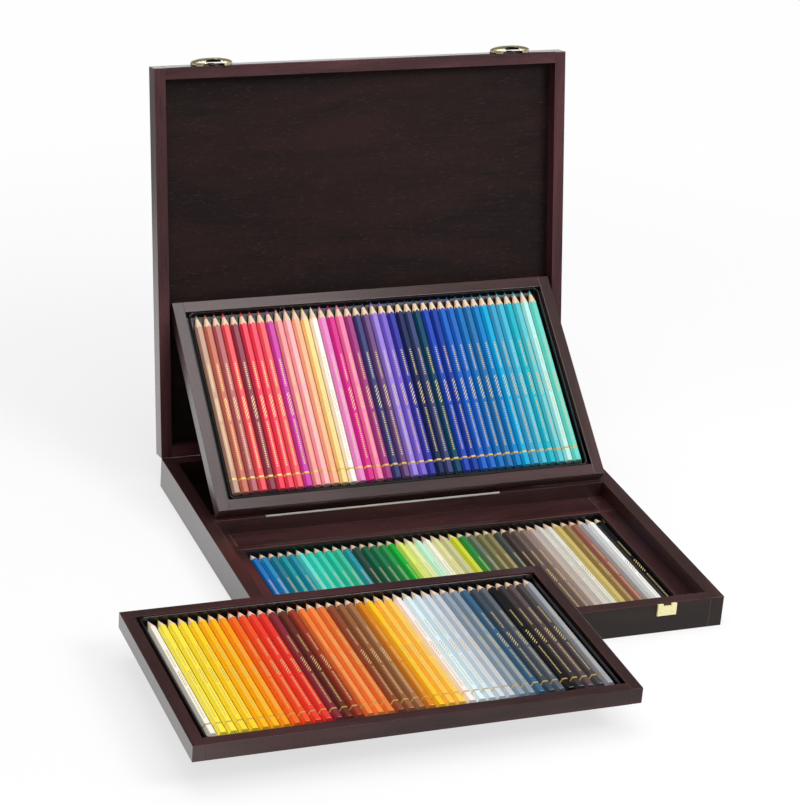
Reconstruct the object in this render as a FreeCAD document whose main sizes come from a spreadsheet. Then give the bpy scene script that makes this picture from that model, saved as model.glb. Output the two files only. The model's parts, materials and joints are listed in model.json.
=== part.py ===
import FreeCAD, Part
import math
import os
import re
import Sketcher
from FreeCAD import Placement, Rotation, Vector

# Hinged wooden presentation case with two lift-out pencil trays, in millimetres.
# Origin: centre of the base's footprint, +X to the right, -Y to the front, +Z up.

doc = FreeCAD.newDocument("PencilCase")
sheet = doc.addObject("Spreadsheet::Sheet", "Sizes")

sizes = [
    ("base_height", 27.0, "base walls"),
    ("side_wall", 12.0, "left and right base walls"),
    ("front_wall", 11.0, "front base wall"),
    ("back_wall", 11.0, "back base wall"),
    ("board_thickness", 4.0, "bottom board of the base, flush with the walls below"),
    ("board_let", 4.0, "how far the bottom board is let into the walls"),
    ("deck_height", 13.5, "top of the deck above the table"),
    ("recess_side_play", 1.0, "tray to the base wall on each side, when stowed"),
    ("recess_end_play", 5.0, "front recess longer than the tray stowed in it"),
    ("partition_thickness", 12.0, "partition, front to back"),
    ("rear_depth", 102.0, "compartment behind the partition"),
    ("band_front", 5.9, "plain deck in front of the let-in band"),
    ("band_inset", 12.5, "band ends inside the base walls"),
    ("band_let", 1.2, "pocket of the band in the deck"),
    ("band_thickness", 0.8, "lining of the pocket"),
    ("strip_width", 3.0, "stop strip, front to back"),
    ("strip_let", 0.8, "stop strip let into the partition"),
    ("strip_rise", 0.8, "stop strip above the partition"),
    ("strip_left", 44.5, "left end of the stop strip from the base wall"),
    ("strip_right", 99.5, "right end of the stop strip from the base wall"),
    ("rest_gap", 0.3, "air under and behind a loose piece"),
    ("insert_gap", 0.3, "insert inside its frame"),
    ("insert_wall", 1.2, "rim of the pencil inserts"),
    ("insert_corner", 5.0, "outer corner radius of the inserts"),
    ("insert_drop", 0.7, "insert rim below the frame's rim"),
    ("insert_side", 4.2, "last pencil's axis to the inside of the base insert's rim"),
    ("pencil_count", 40, "pencils in each layer"),
    ("pencil_pitch", 8.12, "spacing of the pencils"),
    ("pencil_length", 174.0, "sharpened pencil"),
    ("pencil_flats", 6.76, "across the flats of the hexagon"),
    ("pencil_drop", 4.7, "pencil axis below the frame's rim"),
    ("pencil_play", 0.2, "behind the blunt ends"),
    ("cone_length", 14.0, "sharpened end up to the hexagon's corners"),
    ("tip_radius", 0.35, "blunted tip of the lead"),
    ("groove_play", 0.05, "groove around a pencil's corners"),
    ("ridge_drop", 1.6, "ridges between grooves below the pencil axis"),
    ("lid_gap", 0.3, "closed lid above the base's rim"),
    ("lid_wall", 10.0, "lid frame, thickness of its walls"),
    ("lid_recess", 13.7, "lid rim to the panel"),
    ("panel_thickness", 2.8, "lid panel"),
    ("panel_let", 5.0, "how far the panel is let into the lid frame"),
    ("lid_open", 101.5, "opening of the lid, degrees"),
    ("hinge_inset", 71.5, "hinge centre from the case's side"),
    ("hinge_width", 38.0, "hinge leaves"),
    ("leaf_depth", 9.0, "leaf let into the rim, from the back face"),
    ("leaf_thickness", 1.0, "hinge leaf"),
    ("axis_out", 0.3, "hinge pin behind the back face"),
    ("knuckle_radius", 2.2, "outside of the knuckles"),
    ("pin_radius", 1.0, "hinge pin"),
    ("pin_play", 0.05, "pin in the turning knuckle"),
    ("run_gap", 0.35, "between pieces that turn past each other"),
    ("screw_head", 1.9, "radius of a screw head"),
    ("screw_shank", 1.0, "radius of a screw shank"),
    ("screw_length", 8.0, "screw"),
    ("screw_spread", 12.0, "outer screws from the hinge's middle"),
    ("screw_line", 5.2, "screws from the back face"),
    ("clasp_inset", 52.5, "clasp centre from the case's side"),
    ("strike_width", 17.0, "strike plate"),
    ("strike_height", 10.3, "strike plate below the rim"),
    ("strike_thickness", 2.0, "strike plate"),
    ("strike_notch", 6.0, "notch in the strike's top edge"),
    ("notch_depth", 1.0, "notch in the strike's top edge"),
    ("nail_radius", 0.9, "nail shank"),
    ("nail_head", 1.7, "nail head"),
    ("nail_rise", 0.6, "nail head above its plate"),
    ("nail_length", 7.0, "nail behind its plate's face"),
    ("nail_spread", 5.3, "strike nails from the strike's middle"),
    ("plate_thickness", 1.0, "clasp back plate"),
    ("plate_width", 34.0, "clasp back plate"),
    ("plate_height", 8.9, "clasp back plate"),
    ("plate_lift", 2.0, "clasp back plate above the lid's rim"),
    ("plate_nail_spread", 8.4, "clasp nails from the clasp's middle"),
    ("lever_width", 37.0, "clasp lever"),
    ("lever_height", 15.4, "clasp lever"),
    ("lever_drop", 1.7, "lobes of the lever past the lid's rim"),
    ("lever_bulge", 5.5, "lever's crown above its back edge"),
    ("lever_edge", 3.0, "lever's top and bottom edges"),
    ("lever_shell", 1.0, "metal of the lever"),
    ("lever_arch", 13.0, "arch between the lobes"),
    ("arch_height", 9.0, "arch above the lobes' ends"),
    ("pivot_height", 11.1, "lever pin above the lid's rim"),
    ("pivot_out", 2.8, "lever pin in front of the lid"),
    ("pivot_radius", 0.8, "lever pin"),
    ("pivot_ring", 1.5, "lever's end plates around the pin"),
    ("ear_radius", 1.1, "ears around the lever pin"),
    ("ear_thickness", 1.2, "ears of the back plate"),
    ("ear_offset", 14.0, "ears from the clasp's middle"),
    ("tongue_width", 5.2, "sprung tongue in the arch"),
    ("tongue_thickness", 0.7, "sprung tongue"),
    ("tongue_height", 9.4, "sprung tongue"),
    ("tongue_drop", 0.7, "tongue past the lid's rim"),
    ("tray_side", 8.66, "last pencil's axis to the inside of a tray insert's rim"),
    ("tray_tail", 4.6, "behind the blunt ends in a tray"),
    ("tray_height", 13.5, "pencil tray"),
    ("tray_wall", 10.0, "tray frame"),
    ("tray_board", 2.5, "bottom board of a tray"),
    ("tray_board_lift", 0.5, "underside of a tray's board above the frame's"),
    ("tray_board_let", 4.0, "how far the board is let into the frame"),
    ("tray_tilt", 37.8, "slope of the leaning tray, degrees"),
    ("front_tray_shift", -128.1, "front tray's middle, left to right"),
    ("front_tray_overlap", 60.7, "front tray's back edge behind the base's front face"),
]
for row, (alias, value, note) in enumerate(sizes, 1):
    sheet.set(f"A{row}", str(value))
    sheet.setAlias(f"A{row}", alias)
    sheet.set(f"B{row}", note)
doc.recompute()

# Lengths that follow from the sheet: pencils fill an insert, an insert its tray, a tray the case
derived = {
    "row_width": "(pencil_count - 1) * pencil_pitch",
    "tray_inside": "row_width + 2 * (tray_side + insert_wall + insert_gap)",
    "tray_width": "tray_inside + 2 * tray_wall",
    "tray_inside_depth": "pencil_length + 2 * (pencil_play + insert_wall + insert_gap)"
                         " + tray_tail",
    "tray_depth": "tray_inside_depth + 2 * tray_wall",
    "inner_half": "tray_width / 2 + recess_side_play",
    "base_width": "2 * (inner_half + side_wall)",
    "recess_depth": "tray_depth + recess_end_play",
    "base_depth": "front_wall + recess_depth + partition_thickness + rear_depth + back_wall",
    "inner_front": "-base_depth / 2 + front_wall",
    "inner_back": "base_depth / 2 - back_wall",
    "partition_face": "inner_front + recess_depth",
    "deck_rise": "deck_height - board_thickness",
    "insert_half": "row_width / 2 + insert_side + insert_wall",
    "insert_back": "inner_front + 2 * (insert_wall + pencil_play) + pencil_length",
    "insert_reach": "insert_half + insert_gap",
    "deck_back_front": "insert_back + insert_gap",
    "band_depth": "partition_face - deck_back_front - band_front",
    "hinge_offset": "base_width / 2 - hinge_inset",
    "clasp_offset": "base_width / 2 - clasp_inset",
    "axis_y": "base_depth / 2 + axis_out",
    "axis_z": "base_height + lid_gap / 2",
    "lid_rim": "base_height + lid_gap",
    "lid_rise": "lid_recess + panel_thickness",
    "lid_front": "-base_depth / 2",
    "strike_bottom": "base_height - strike_height",
    "plate_bottom": "lid_rim + plate_lift",
}
known = re.compile(r"\b(" + "|".join(derived) + r")\b")
aliases = re.compile(r"\b(" + "|".join(alias for alias, value, note in sizes) + r")\b")


def spell_out(expression):
    """The expression in the sheet's own words, with every derived length written out."""
    while known.search(expression):
        expression = known.sub(lambda word: f"({derived[word[0]]})", expression)
    return aliases.sub(r"Sizes.\1", expression)


def size(alias):
    return float(sheet.get(alias))


def work_out(expression):
    """Value of an expression in millimetres."""
    return float(sheet.evalExpression(spell_out(expression)))


def bind(piece, prop, expression):
    piece.setExpression(prop, spell_out(expression))


def box(name, x, y, z):
    """Box from (start, length) pairs along each axis."""
    piece = doc.addObject("Part::Box", name)
    for axis, length, (start, extent) in zip("xyz", ("Length", "Width", "Height"), (x, y, z)):
        bind(piece, f"Placement.Base.{axis}", start)
        bind(piece, length, extent)
    return piece


def rod(name, direction, start, radius, length):
    """Cylinder whose first end is centred on start and which runs along direction."""
    piece = doc.addObject("Part::Cylinder", name)
    piece.Placement = Placement(Vector(), Rotation(Vector(0, 0, 1), direction))
    for axis, place in zip("xyz", start):
        bind(piece, f"Placement.Base.{axis}", place)
    bind(piece, "Radius", radius)
    bind(piece, "Height", length)
    return piece


def cut(name, base, *tools):
    """Base with every tool taken away in turn; the last cut has the name."""
    piece = base
    for i, tool in enumerate(tools, 1):
        step = doc.addObject("Part::Cut", name if i == len(tools) else f"{name}_step_{i}")
        step.Base = piece
        step.Tool = tool
        piece = step
    return piece


def fuse(name, *pieces):
    piece = doc.addObject("Part::MultiFuse", name)
    piece.Shapes = list(pieces)
    return piece


def feature(name, shape):
    piece = doc.addObject("Part::Feature", name)
    piece.Shape = shape
    return piece


def plate(name, width, depth, thickness, centre, underside):
    """Rectangular board: a centred sketch, padded upwards from its underside."""
    body = doc.addObject("PartDesign::Body", name)
    sketch = body.newObject("Sketcher::SketchObject", name + "_outline")
    plane = [item for item in body.Origin.OriginFeatures if item.Role == "XY_Plane"][0]
    sketch.AttachmentSupport = (plane, "")
    sketch.MapMode = "FlatFace"
    half, deep_half = work_out(width) / 2, work_out(depth) / 2
    corners = [Vector(-half, -deep_half, 0), Vector(half, -deep_half, 0),
               Vector(half, deep_half, 0), Vector(-half, deep_half, 0)]
    for first, second in zip(corners, corners[1:] + corners[:1]):
        sketch.addGeometry(Part.LineSegment(first, second), False)
    for line in range(4):
        sketch.addConstraint(Sketcher.Constraint("Coincident", line, 2, (line + 1) % 4, 1))
        kind = "Horizontal" if line % 2 == 0 else "Vertical"
        sketch.addConstraint(Sketcher.Constraint(kind, line))
    sketch.addConstraint(Sketcher.Constraint("Symmetric", 0, 1, 1, 2, -1, 1))
    wide = sketch.addConstraint(Sketcher.Constraint(
        "DistanceX", 0, 1, 0, 2, work_out(width)))
    deep = sketch.addConstraint(Sketcher.Constraint(
        "DistanceY", 1, 1, 1, 2, work_out(depth)))
    bind(sketch, f"Constraints[{wide}]", width)
    bind(sketch, f"Constraints[{deep}]", depth)
    pad = body.newObject("PartDesign::Pad", name + "_pad")
    pad.Profile = sketch
    bind(pad, "Length", thickness)
    body.Tip = pad
    bind(body, "Placement.Base.y", centre)
    bind(body, "Placement.Base.z", underside)
    return body


def rounded_block(width, depth, radius, bottom, top):
    """Upright block, centred left to right, its front on y = 0, with round corners."""
    half = width / 2
    outline = Part.makePolygon([
        Vector(-half, 0, bottom), Vector(half, 0, bottom),
        Vector(half, depth, bottom), Vector(-half, depth, bottom), Vector(-half, 0, bottom),
    ])
    block = Part.Face(outline).extrude(Vector(0, 0, top - bottom))
    upright = [edge for edge in block.Edges
               if abs(edge.Vertexes[0].X - edge.Vertexes[1].X) < 1e-6
               and abs(edge.Vertexes[0].Y - edge.Vertexes[1].Y) < 1e-6]
    return block.makeFillet(radius, upright)


def screw(place, direction):
    """Countersunk wood screw; its flat head ends at place and it runs along direction."""
    head, shank, length = size("screw_head"), size("screw_shank"), size("screw_length")
    profile = Part.makePolygon([
        Vector(0, 0, 0), Vector(head, 0, 0), Vector(shank, 0, head - shank),
        Vector(shank, 0, length - shank), Vector(0, 0, length), Vector(0, 0, 0),
    ])
    solid = Part.Face(profile).revolve(Vector(0, 0, 0), Vector(0, 0, 1), 360)
    solid.Placement = Placement(place, Rotation(Vector(0, 0, 1), direction))
    return solid


def nail(place):
    """Round-headed nail driven towards the back; the head stands in front of place."""
    head, shank = size("nail_head"), size("nail_radius")
    rise, length = size("nail_rise"), size("nail_length")
    crown = (head ** 2 + rise ** 2) / (2 * rise)
    along = crown - math.sqrt(crown ** 2 - (head / 2) ** 2) - rise
    dome = Part.Arc(Vector(0, 0, -rise), Vector(head / 2, 0, along), Vector(head, 0, 0))
    lines = [Part.makeLine(Vector(head, 0, 0), Vector(shank, 0, 0)),
             Part.makeLine(Vector(shank, 0, 0), Vector(shank, 0, length)),
             Part.makeLine(Vector(shank, 0, length), Vector(0, 0, length)),
             Part.makeLine(Vector(0, 0, length), Vector(0, 0, -rise))]
    solid = Part.Face(Part.Wire([dome.toShape()] + lines)).revolve(
        Vector(0, 0, 0), Vector(0, 0, 1), 360)
    solid.Placement = Placement(place, Rotation(Vector(0, 0, 1), Vector(0, 1, 0)))
    return solid


parts = {}


def keep(name, piece, place=None):
    """Names a finished sub-part; one built elsewhere is carried to its place in the case."""
    if place is not None:
        carried = doc.addObject("Part::Compound", name + "_placed")
        carried.Links = [piece]
        carried.Placement = place
        piece = carried
    piece.Label = name
    parts[name] = piece
    return piece


pencil_half = size("pencil_flats") / math.sqrt(3)

# Base: bottom board, walls with the board let in, and the hinge mortises in the back wall
board = keep("base_bottom_board", plate(
    "base_bottom_board",
    "base_width - 2 * side_wall + 2 * board_let",
    "base_depth - front_wall - back_wall + 2 * board_let",
    "board_thickness", "(front_wall - back_wall) / 2", "0"))

left_wall = box("left_wall_blank", ("-base_width / 2", "side_wall"),
                ("-base_depth / 2", "base_depth"), ("0", "base_height"))
right_wall = box("right_wall_blank", ("inner_half", "side_wall"),
                 ("-base_depth / 2", "base_depth"), ("0", "base_height"))
front_wall = box("front_wall_blank", ("-inner_half", "2 * inner_half"),
                 ("-base_depth / 2", "front_wall"), ("0", "base_height"))
back_wall = box("back_wall_blank", ("-inner_half", "2 * inner_half"),
                ("inner_back", "back_wall"), ("0", "base_height"))
keep("base_left_wall", cut("base_left_wall", left_wall, board))
keep("base_right_wall", cut("base_right_wall", right_wall, board))


def hinge_screws(name, z, direction):
    """Six countersunk screws, three to each hinge."""
    spread = size("screw_spread")
    y = work_out("base_depth / 2 - screw_line")
    return feature(name, Part.makeCompound([
        screw(Vector(side * work_out("hinge_offset") + shift, y, z), direction)
        for side in (-1, 1) for shift in (-spread, 0, spread)]))


def mortises(name, z, thickness):
    """Pockets for both hinges' leaves and knuckles."""
    tools = []
    for side, sign in (("left", "-"), ("right", "")):
        start = f"{sign}hinge_offset - hinge_width / 2"
        tools.append(box(f"{name}_{side}_pocket", (start, "hinge_width"),
                         ("base_depth / 2 - leaf_depth", "leaf_depth + axis_out"),
                         (z, thickness)))
        tools.append(rod(f"{name}_{side}_scoop", Vector(1, 0, 0),
                         (f"{start} - run_gap", "axis_y", "axis_z"),
                         "knuckle_radius + run_gap", "hinge_width + 2 * run_gap"))
    return tools


base_screws = keep("hinge_base_screws", hinge_screws(
    "hinge_base_screws", size("base_height"), Vector(0, 0, -1)))
keep("base_back_wall", cut(
    "base_back_wall", back_wall, board, base_screws,
    *mortises("base_mortise", "base_height - leaf_thickness", "leaf_thickness")))

# Deck: two side strips and a back strip around the insert, and the let-in band
for side, start in (("left", "-inner_half"), ("right", "insert_reach")):
    keep(f"deck_{side}_strip", box(
        f"deck_{side}_strip", (start, "inner_half - insert_reach"),
        ("inner_front", "deck_back_front - inner_front"), ("board_thickness", "deck_rise")))
deck_back = box("deck_back_blank", ("-inner_half", "2 * inner_half"),
                ("deck_back_front", "partition_face - deck_back_front"),
                ("board_thickness", "deck_rise"))
band_pocket = box("band_pocket", ("-(inner_half - band_inset)",
                                  "2 * (inner_half - band_inset)"),
                  ("partition_face - band_depth", "band_depth"),
                  ("deck_height - band_let", "2 * band_let"))
keep("deck_back_strip", cut("deck_back_strip", deck_back, band_pocket))
keep("deck_band", plate(
    "deck_band", "2 * (inner_half - band_inset)", "band_depth", "band_thickness",
    "partition_face - band_depth / 2", "deck_height - band_let"))

# Partition between the pencils and the back compartment, with its stop strip
strip = keep("partition_strip", box(
    "partition_strip", ("strip_left - inner_half", "2 * inner_half - strip_left - strip_right"),
    ("partition_face", "strip_width"),
    ("base_height - strip_let", "strip_let + strip_rise")))
partition = box("partition_blank", ("-inner_half", "2 * inner_half"),
                ("partition_face", "partition_thickness"),
                ("board_thickness", "base_height - board_thickness"))
keep("partition", cut("partition", partition, strip))


def pencils(blunt, height):
    """One layer of sharpened hexagonal pencils, blunt ends on y = blunt."""
    length, cone = size("pencil_length"), size("cone_length")
    corners = [Vector(pencil_half * math.cos(math.radians(60 * i)), 0,
                      pencil_half * math.sin(math.radians(60 * i))) for i in range(7)]
    prism = Part.Face(Part.makePolygon(corners)).extrude(Vector(0, length, 0))
    sharp = Part.makeCone(pencil_half, size("tip_radius"), cone,
                          Vector(0, length - cone, 0), Vector(0, 1, 0))
    shaft = Part.makeCylinder(pencil_half, length - cone, Vector(), Vector(0, 1, 0))
    pencil = prism.common(shaft.fuse(sharp))
    count = int(size("pencil_count"))
    row = []
    for i in range(count):
        copy = pencil.copy()
        copy.translate(Vector((i - (count - 1) / 2) * size("pencil_pitch"), blunt, height))
        row.append(copy)
    return Part.makeCompound(row)


def insert(width, depth, bottom, top, height):
    """Moulded insert: a rim around half-round grooves, one under each pencil."""
    wall = size("insert_wall")
    corner = size("insert_corner")
    block = rounded_block(width, depth, corner, bottom, top)
    pocket = rounded_block(width - 2 * wall, depth - 2 * wall, corner - wall,
                           height - size("ridge_drop"), top + wall)
    pocket.translate(Vector(0, wall, 0))
    radius = pencil_half + size("groove_play")
    count = int(size("pencil_count"))
    grooves = [Part.makeCylinder(
        radius, depth - 2 * wall,
        Vector((i - (count - 1) / 2) * size("pencil_pitch"), wall, height), Vector(0, 1, 0))
        for i in range(count)]
    return block.cut(pocket).cut(Part.makeCompound(grooves))


axis_height = work_out("deck_height - pencil_drop")
moulding = insert(work_out("2 * insert_half"), work_out("insert_back - inner_front"),
                  0, work_out("deck_rise - insert_drop"), axis_height - size("board_thickness"))
keep("base_insert", feature("base_insert", moulding),
     Placement(Vector(0, work_out("inner_front"), size("board_thickness")), Rotation()))
keep("base_pencils", feature("base_pencils", pencils(
    work_out("inner_front + insert_wall + pencil_play"), axis_height)))

# Strike plates and their nails on the base's front wall
strike_nails = keep("strike_nails", feature("strike_nails", Part.makeCompound([
    nail(Vector(side * work_out("clasp_offset") + shift * size("nail_spread"),
                work_out("-base_depth / 2 - strike_thickness"),
                work_out("strike_bottom + strike_height / 2 - notch_depth")))
    for side in (-1, 1) for shift in (-1, 1)])))
keep("base_front_wall", cut("base_front_wall", front_wall, board, strike_nails))
for side, sign in (("left", "-"), ("right", "")):
    centre = f"({sign}clasp_offset)"
    strike = box(f"{side}_strike_blank", (f"{centre} - strike_width / 2", "strike_width"),
                 ("-base_depth / 2 - strike_thickness", "strike_thickness"),
                 ("strike_bottom", "strike_height"))
    notch = box(f"{side}_strike_notch", (f"{centre} - strike_notch / 2", "strike_notch"),
                ("-base_depth / 2 - 2 * strike_thickness", "3 * strike_thickness"),
                ("base_height - notch_depth", "2 * notch_depth"))
    keep(f"{side}_strike", cut(f"{side}_strike", strike, notch, strike_nails))

# The lid is built closed and then turned open about the hinge pins
hinge_line = Vector(0, work_out("axis_y"), work_out("axis_z"))
opened = Placement(Vector(), Rotation(Vector(1, 0, 0), -size("lid_open")), hinge_line)


def lid_piece(name, piece):
    return keep(name, piece, opened)


panel = plate("lid_panel", "base_width - 2 * lid_wall + 2 * panel_let",
              "base_depth - 2 * lid_wall + 2 * panel_let", "panel_thickness",
              "0", "lid_rim + lid_recess")
panel_seat = box("panel_seat", ("-(base_width / 2 - lid_wall + panel_let)",
                                "base_width - 2 * lid_wall + 2 * panel_let"),
                 ("-(base_depth / 2 - lid_wall + panel_let)",
                  "base_depth - 2 * lid_wall + 2 * panel_let"),
                 ("lid_rim + lid_recess", "panel_thickness"))
lid_piece("lid_panel", panel)
for side, start in (("left", "-base_width / 2"), ("right", "base_width / 2 - lid_wall")):
    stile = box(f"lid_{side}_blank", (start, "lid_wall"),
                ("-base_depth / 2", "base_depth"), ("lid_rim", "lid_rise"))
    lid_piece(f"lid_{side}_stile", cut(f"lid_{side}_stile", stile, panel_seat))
rail_x = ("-(base_width / 2 - lid_wall)", "base_width - 2 * lid_wall")
lid_screws = hinge_screws("hinge_lid_screws", work_out("lid_rim"), Vector(0, 0, 1))
back_rail = box("lid_back_blank", rail_x, ("base_depth / 2 - lid_wall", "lid_wall"),
                ("lid_rim", "lid_rise"))
lid_piece("lid_back_rail", cut("lid_back_rail", back_rail, panel_seat, lid_screws,
                               *mortises("lid_mortise", "lid_rim", "leaf_thickness")))

# Butt hinges: the base leaf has the two outer knuckles, the lid leaf the middle one
pins = []
for side, sign in (("left", "-"), ("right", "")):
    start = f"({sign}hinge_offset - hinge_width / 2)"
    third = "hinge_width / 3"
    knuckles = [rod(f"{side}_knuckle_{i}", Vector(1, 0, 0),
                    (f"{start} + {i} * {third}", "axis_y", "axis_z"), "knuckle_radius", third)
                for i in range(3)]
    bore = rod(f"{side}_hinge_bore", Vector(1, 0, 0), (start, "axis_y", "axis_z"),
               "pin_radius", "hinge_width")
    loose_bore = rod(f"{side}_hinge_loose_bore", Vector(1, 0, 0), (start, "axis_y", "axis_z"),
                     "pin_radius + pin_play", "hinge_width")
    room = rod(f"{side}_middle_room", Vector(1, 0, 0),
               (f"{start} + {third} - run_gap / 2", "axis_y", "axis_z"),
               "knuckle_radius + run_gap", f"{third} + run_gap")
    ends = [rod(f"{side}_end_room_{i}", Vector(1, 0, 0), (place, "axis_y", "axis_z"),
                "knuckle_radius + run_gap", f"{third} + run_gap / 2")
            for i, place in ((0, start), (2, f"{start} + 2 * {third} - run_gap / 2"))]
    leaf_y = ("base_depth / 2 - leaf_depth", "leaf_depth + axis_out")
    base_leaf = box(f"{side}_base_leaf_blank", (start, "hinge_width"), leaf_y,
                    ("base_height - leaf_thickness", "leaf_thickness"))
    lid_leaf = box(f"{side}_lid_leaf_blank", (start, "hinge_width"), leaf_y,
                   ("lid_rim", "leaf_thickness"))
    lower = fuse(f"{side}_base_leaf_rough", cut(f"{side}_base_leaf_cleared", base_leaf, room),
                 cut(f"{side}_knuckle_first", knuckles[0], room),
                 cut(f"{side}_knuckle_last", knuckles[2], room))
    keep(f"{side}_hinge_base_leaf", cut(f"{side}_hinge_base_leaf", lower, bore, base_screws))
    upper = fuse(f"{side}_lid_leaf_rough",
                 cut(f"{side}_lid_leaf_cleared", lid_leaf, *ends),
                 cut(f"{side}_knuckle_middle", knuckles[1], *ends))
    lid_piece(f"{side}_hinge_lid_leaf", cut(
        f"{side}_hinge_lid_leaf", upper, loose_bore, lid_screws))
    pins.append(rod(f"{side}_hinge_pin", Vector(1, 0, 0), (start, "axis_y", "axis_z"),
                    "pin_radius", "hinge_width"))
keep("hinge_pins", fuse("hinge_pins", *pins))
lid_piece("hinge_lid_screws", lid_screws)

# Clasps on the lid's front rail: back plate with ears, pin, sprung tongue and hollow lever
clasp_nails = feature("clasp_nails", Part.makeCompound([
    nail(Vector(side * work_out("clasp_offset") + shift * size("plate_nail_spread"),
                work_out("lid_front - plate_thickness"),
                work_out("plate_bottom + plate_height / 2")))
    for side in (-1, 1) for shift in (-1, 1)]))
front_rail = box("lid_front_blank", rail_x, ("lid_front", "lid_wall"), ("lid_rim", "lid_rise"))
lid_piece("lid_front_rail", cut("lid_front_rail", front_rail, panel_seat, clasp_nails))


def lever_profile(inset):
    """Side view of the lever: straight edges at top and bottom, an arc between them."""
    back = work_out("lid_front - plate_thickness - rest_gap")
    bottom = work_out("lid_rim - lever_drop") + inset
    top = work_out("lid_rim - lever_drop + lever_height") - inset
    edge = back - size("lever_edge") + inset
    crown = back - size("lever_bulge") + inset
    arc = Part.Arc(Vector(0, edge, bottom), Vector(0, crown, (bottom + top) / 2),
                   Vector(0, edge, top)).toShape()
    lines = [Part.makeLine(Vector(0, back, bottom), Vector(0, edge, bottom)), arc,
             Part.makeLine(Vector(0, edge, top), Vector(0, back, top)),
             Part.makeLine(Vector(0, back, top), Vector(0, back, bottom))]
    return Part.Face(Part.Wire(lines))


def lever():
    """Domed cover with two lobes, open at the back, clear of its own swing."""
    width, shell = size("lever_width"), size("lever_shell")
    arch, tall = size("lever_arch"), size("arch_height")
    outer = lever_profile(0).extrude(Vector(width, 0, 0))
    outer.translate(Vector(-width / 2, 0, 0))
    inner = lever_profile(shell).extrude(Vector(width - 2 * shell, 0, 0))
    inner.translate(Vector(shell - width / 2, 0, 0))
    bottom = work_out("lid_rim - lever_drop")
    front = work_out("lid_front - plate_thickness - rest_gap - 2 * lever_bulge")
    deep = 2 * size("lever_bulge")
    spring = tall - arch / 2
    notch = Part.makeBox(arch, deep, 2 * spring, Vector(-arch / 2, front, bottom - spring))
    round_top = Part.makeCylinder(arch / 2, deep, Vector(0, front, bottom + spring),
                                  Vector(0, 1, 0))
    shape = outer.cut(inner).cut(notch.fuse(round_top))
    end = Vector(-width, work_out("lid_front - pivot_out"),
                 work_out("lid_rim + pivot_height"))
    across = Vector(1, 0, 0)
    heel = Part.makeBox(2 * width, deep, size("lever_height"), end).cut(
        Part.makeCylinder(size("pivot_ring"), 2 * width, end, across))
    drop = work_out("lever_drop + rest_gap")
    toe = Part.makeBox(2 * width, deep, 2 * drop, Vector(
        -width, work_out("lid_front - strike_thickness - run_gap"), bottom - drop))
    bore = Part.makeCylinder(work_out("pivot_radius + pin_play"), 2 * width, end, across)
    return shape.cut(heel).cut(toe).cut(bore)


pin_start = "(-(lever_width / 2))"
for side, sign in (("left", "-"), ("right", "")):
    centre = f"({sign}clasp_offset)"
    sheet_metal = box(f"{side}_clasp_sheet", (f"{centre} - plate_width / 2", "plate_width"),
                      ("lid_front - plate_thickness", "plate_thickness"),
                      ("plate_bottom", "plate_height"))
    ears = []
    for end, shift in (("outer", "-ear_offset"), ("inner", "ear_offset - ear_thickness")):
        x = f"{centre} + ({shift})"
        ears.append(box(f"{side}_clasp_{end}_web", (x, "ear_thickness"),
                        ("lid_front - pivot_out", "pivot_out"),
                        ("lid_rim + pivot_height - 4 * ear_radius", "4 * ear_radius")))
        ears.append(rod(f"{side}_clasp_{end}_eye", Vector(1, 0, 0),
                        (x, "lid_front - pivot_out", "lid_rim + pivot_height"),
                        "ear_radius", "ear_thickness"))
    pin = rod(f"{side}_clasp_pin", Vector(1, 0, 0),
              (f"{centre} + {pin_start}", "lid_front - pivot_out",
               "lid_rim + pivot_height"), "pivot_radius", "lever_width")
    lid_piece(f"{side}_clasp_plate", cut(
        f"{side}_clasp_plate", fuse(f"{side}_clasp_rough", sheet_metal, *ears),
        pin, clasp_nails))
    lid_piece(f"{side}_clasp_pin", pin)
    lid_piece(f"{side}_clasp_tongue", box(
        f"{side}_clasp_tongue", (f"{centre} - tongue_width / 2", "tongue_width"),
        ("lid_front - plate_thickness - tongue_thickness", "tongue_thickness"),
        ("lid_rim - tongue_drop", "tongue_height")))
    cover = feature(f"{side}_clasp_lever", lever())
    shift = Placement(Vector(work_out(centre), 0, 0), Rotation())
    keep(f"{side}_clasp_lever", cover, opened.multiply(shift))
lid_piece("clasp_nails", clasp_nails)


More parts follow.
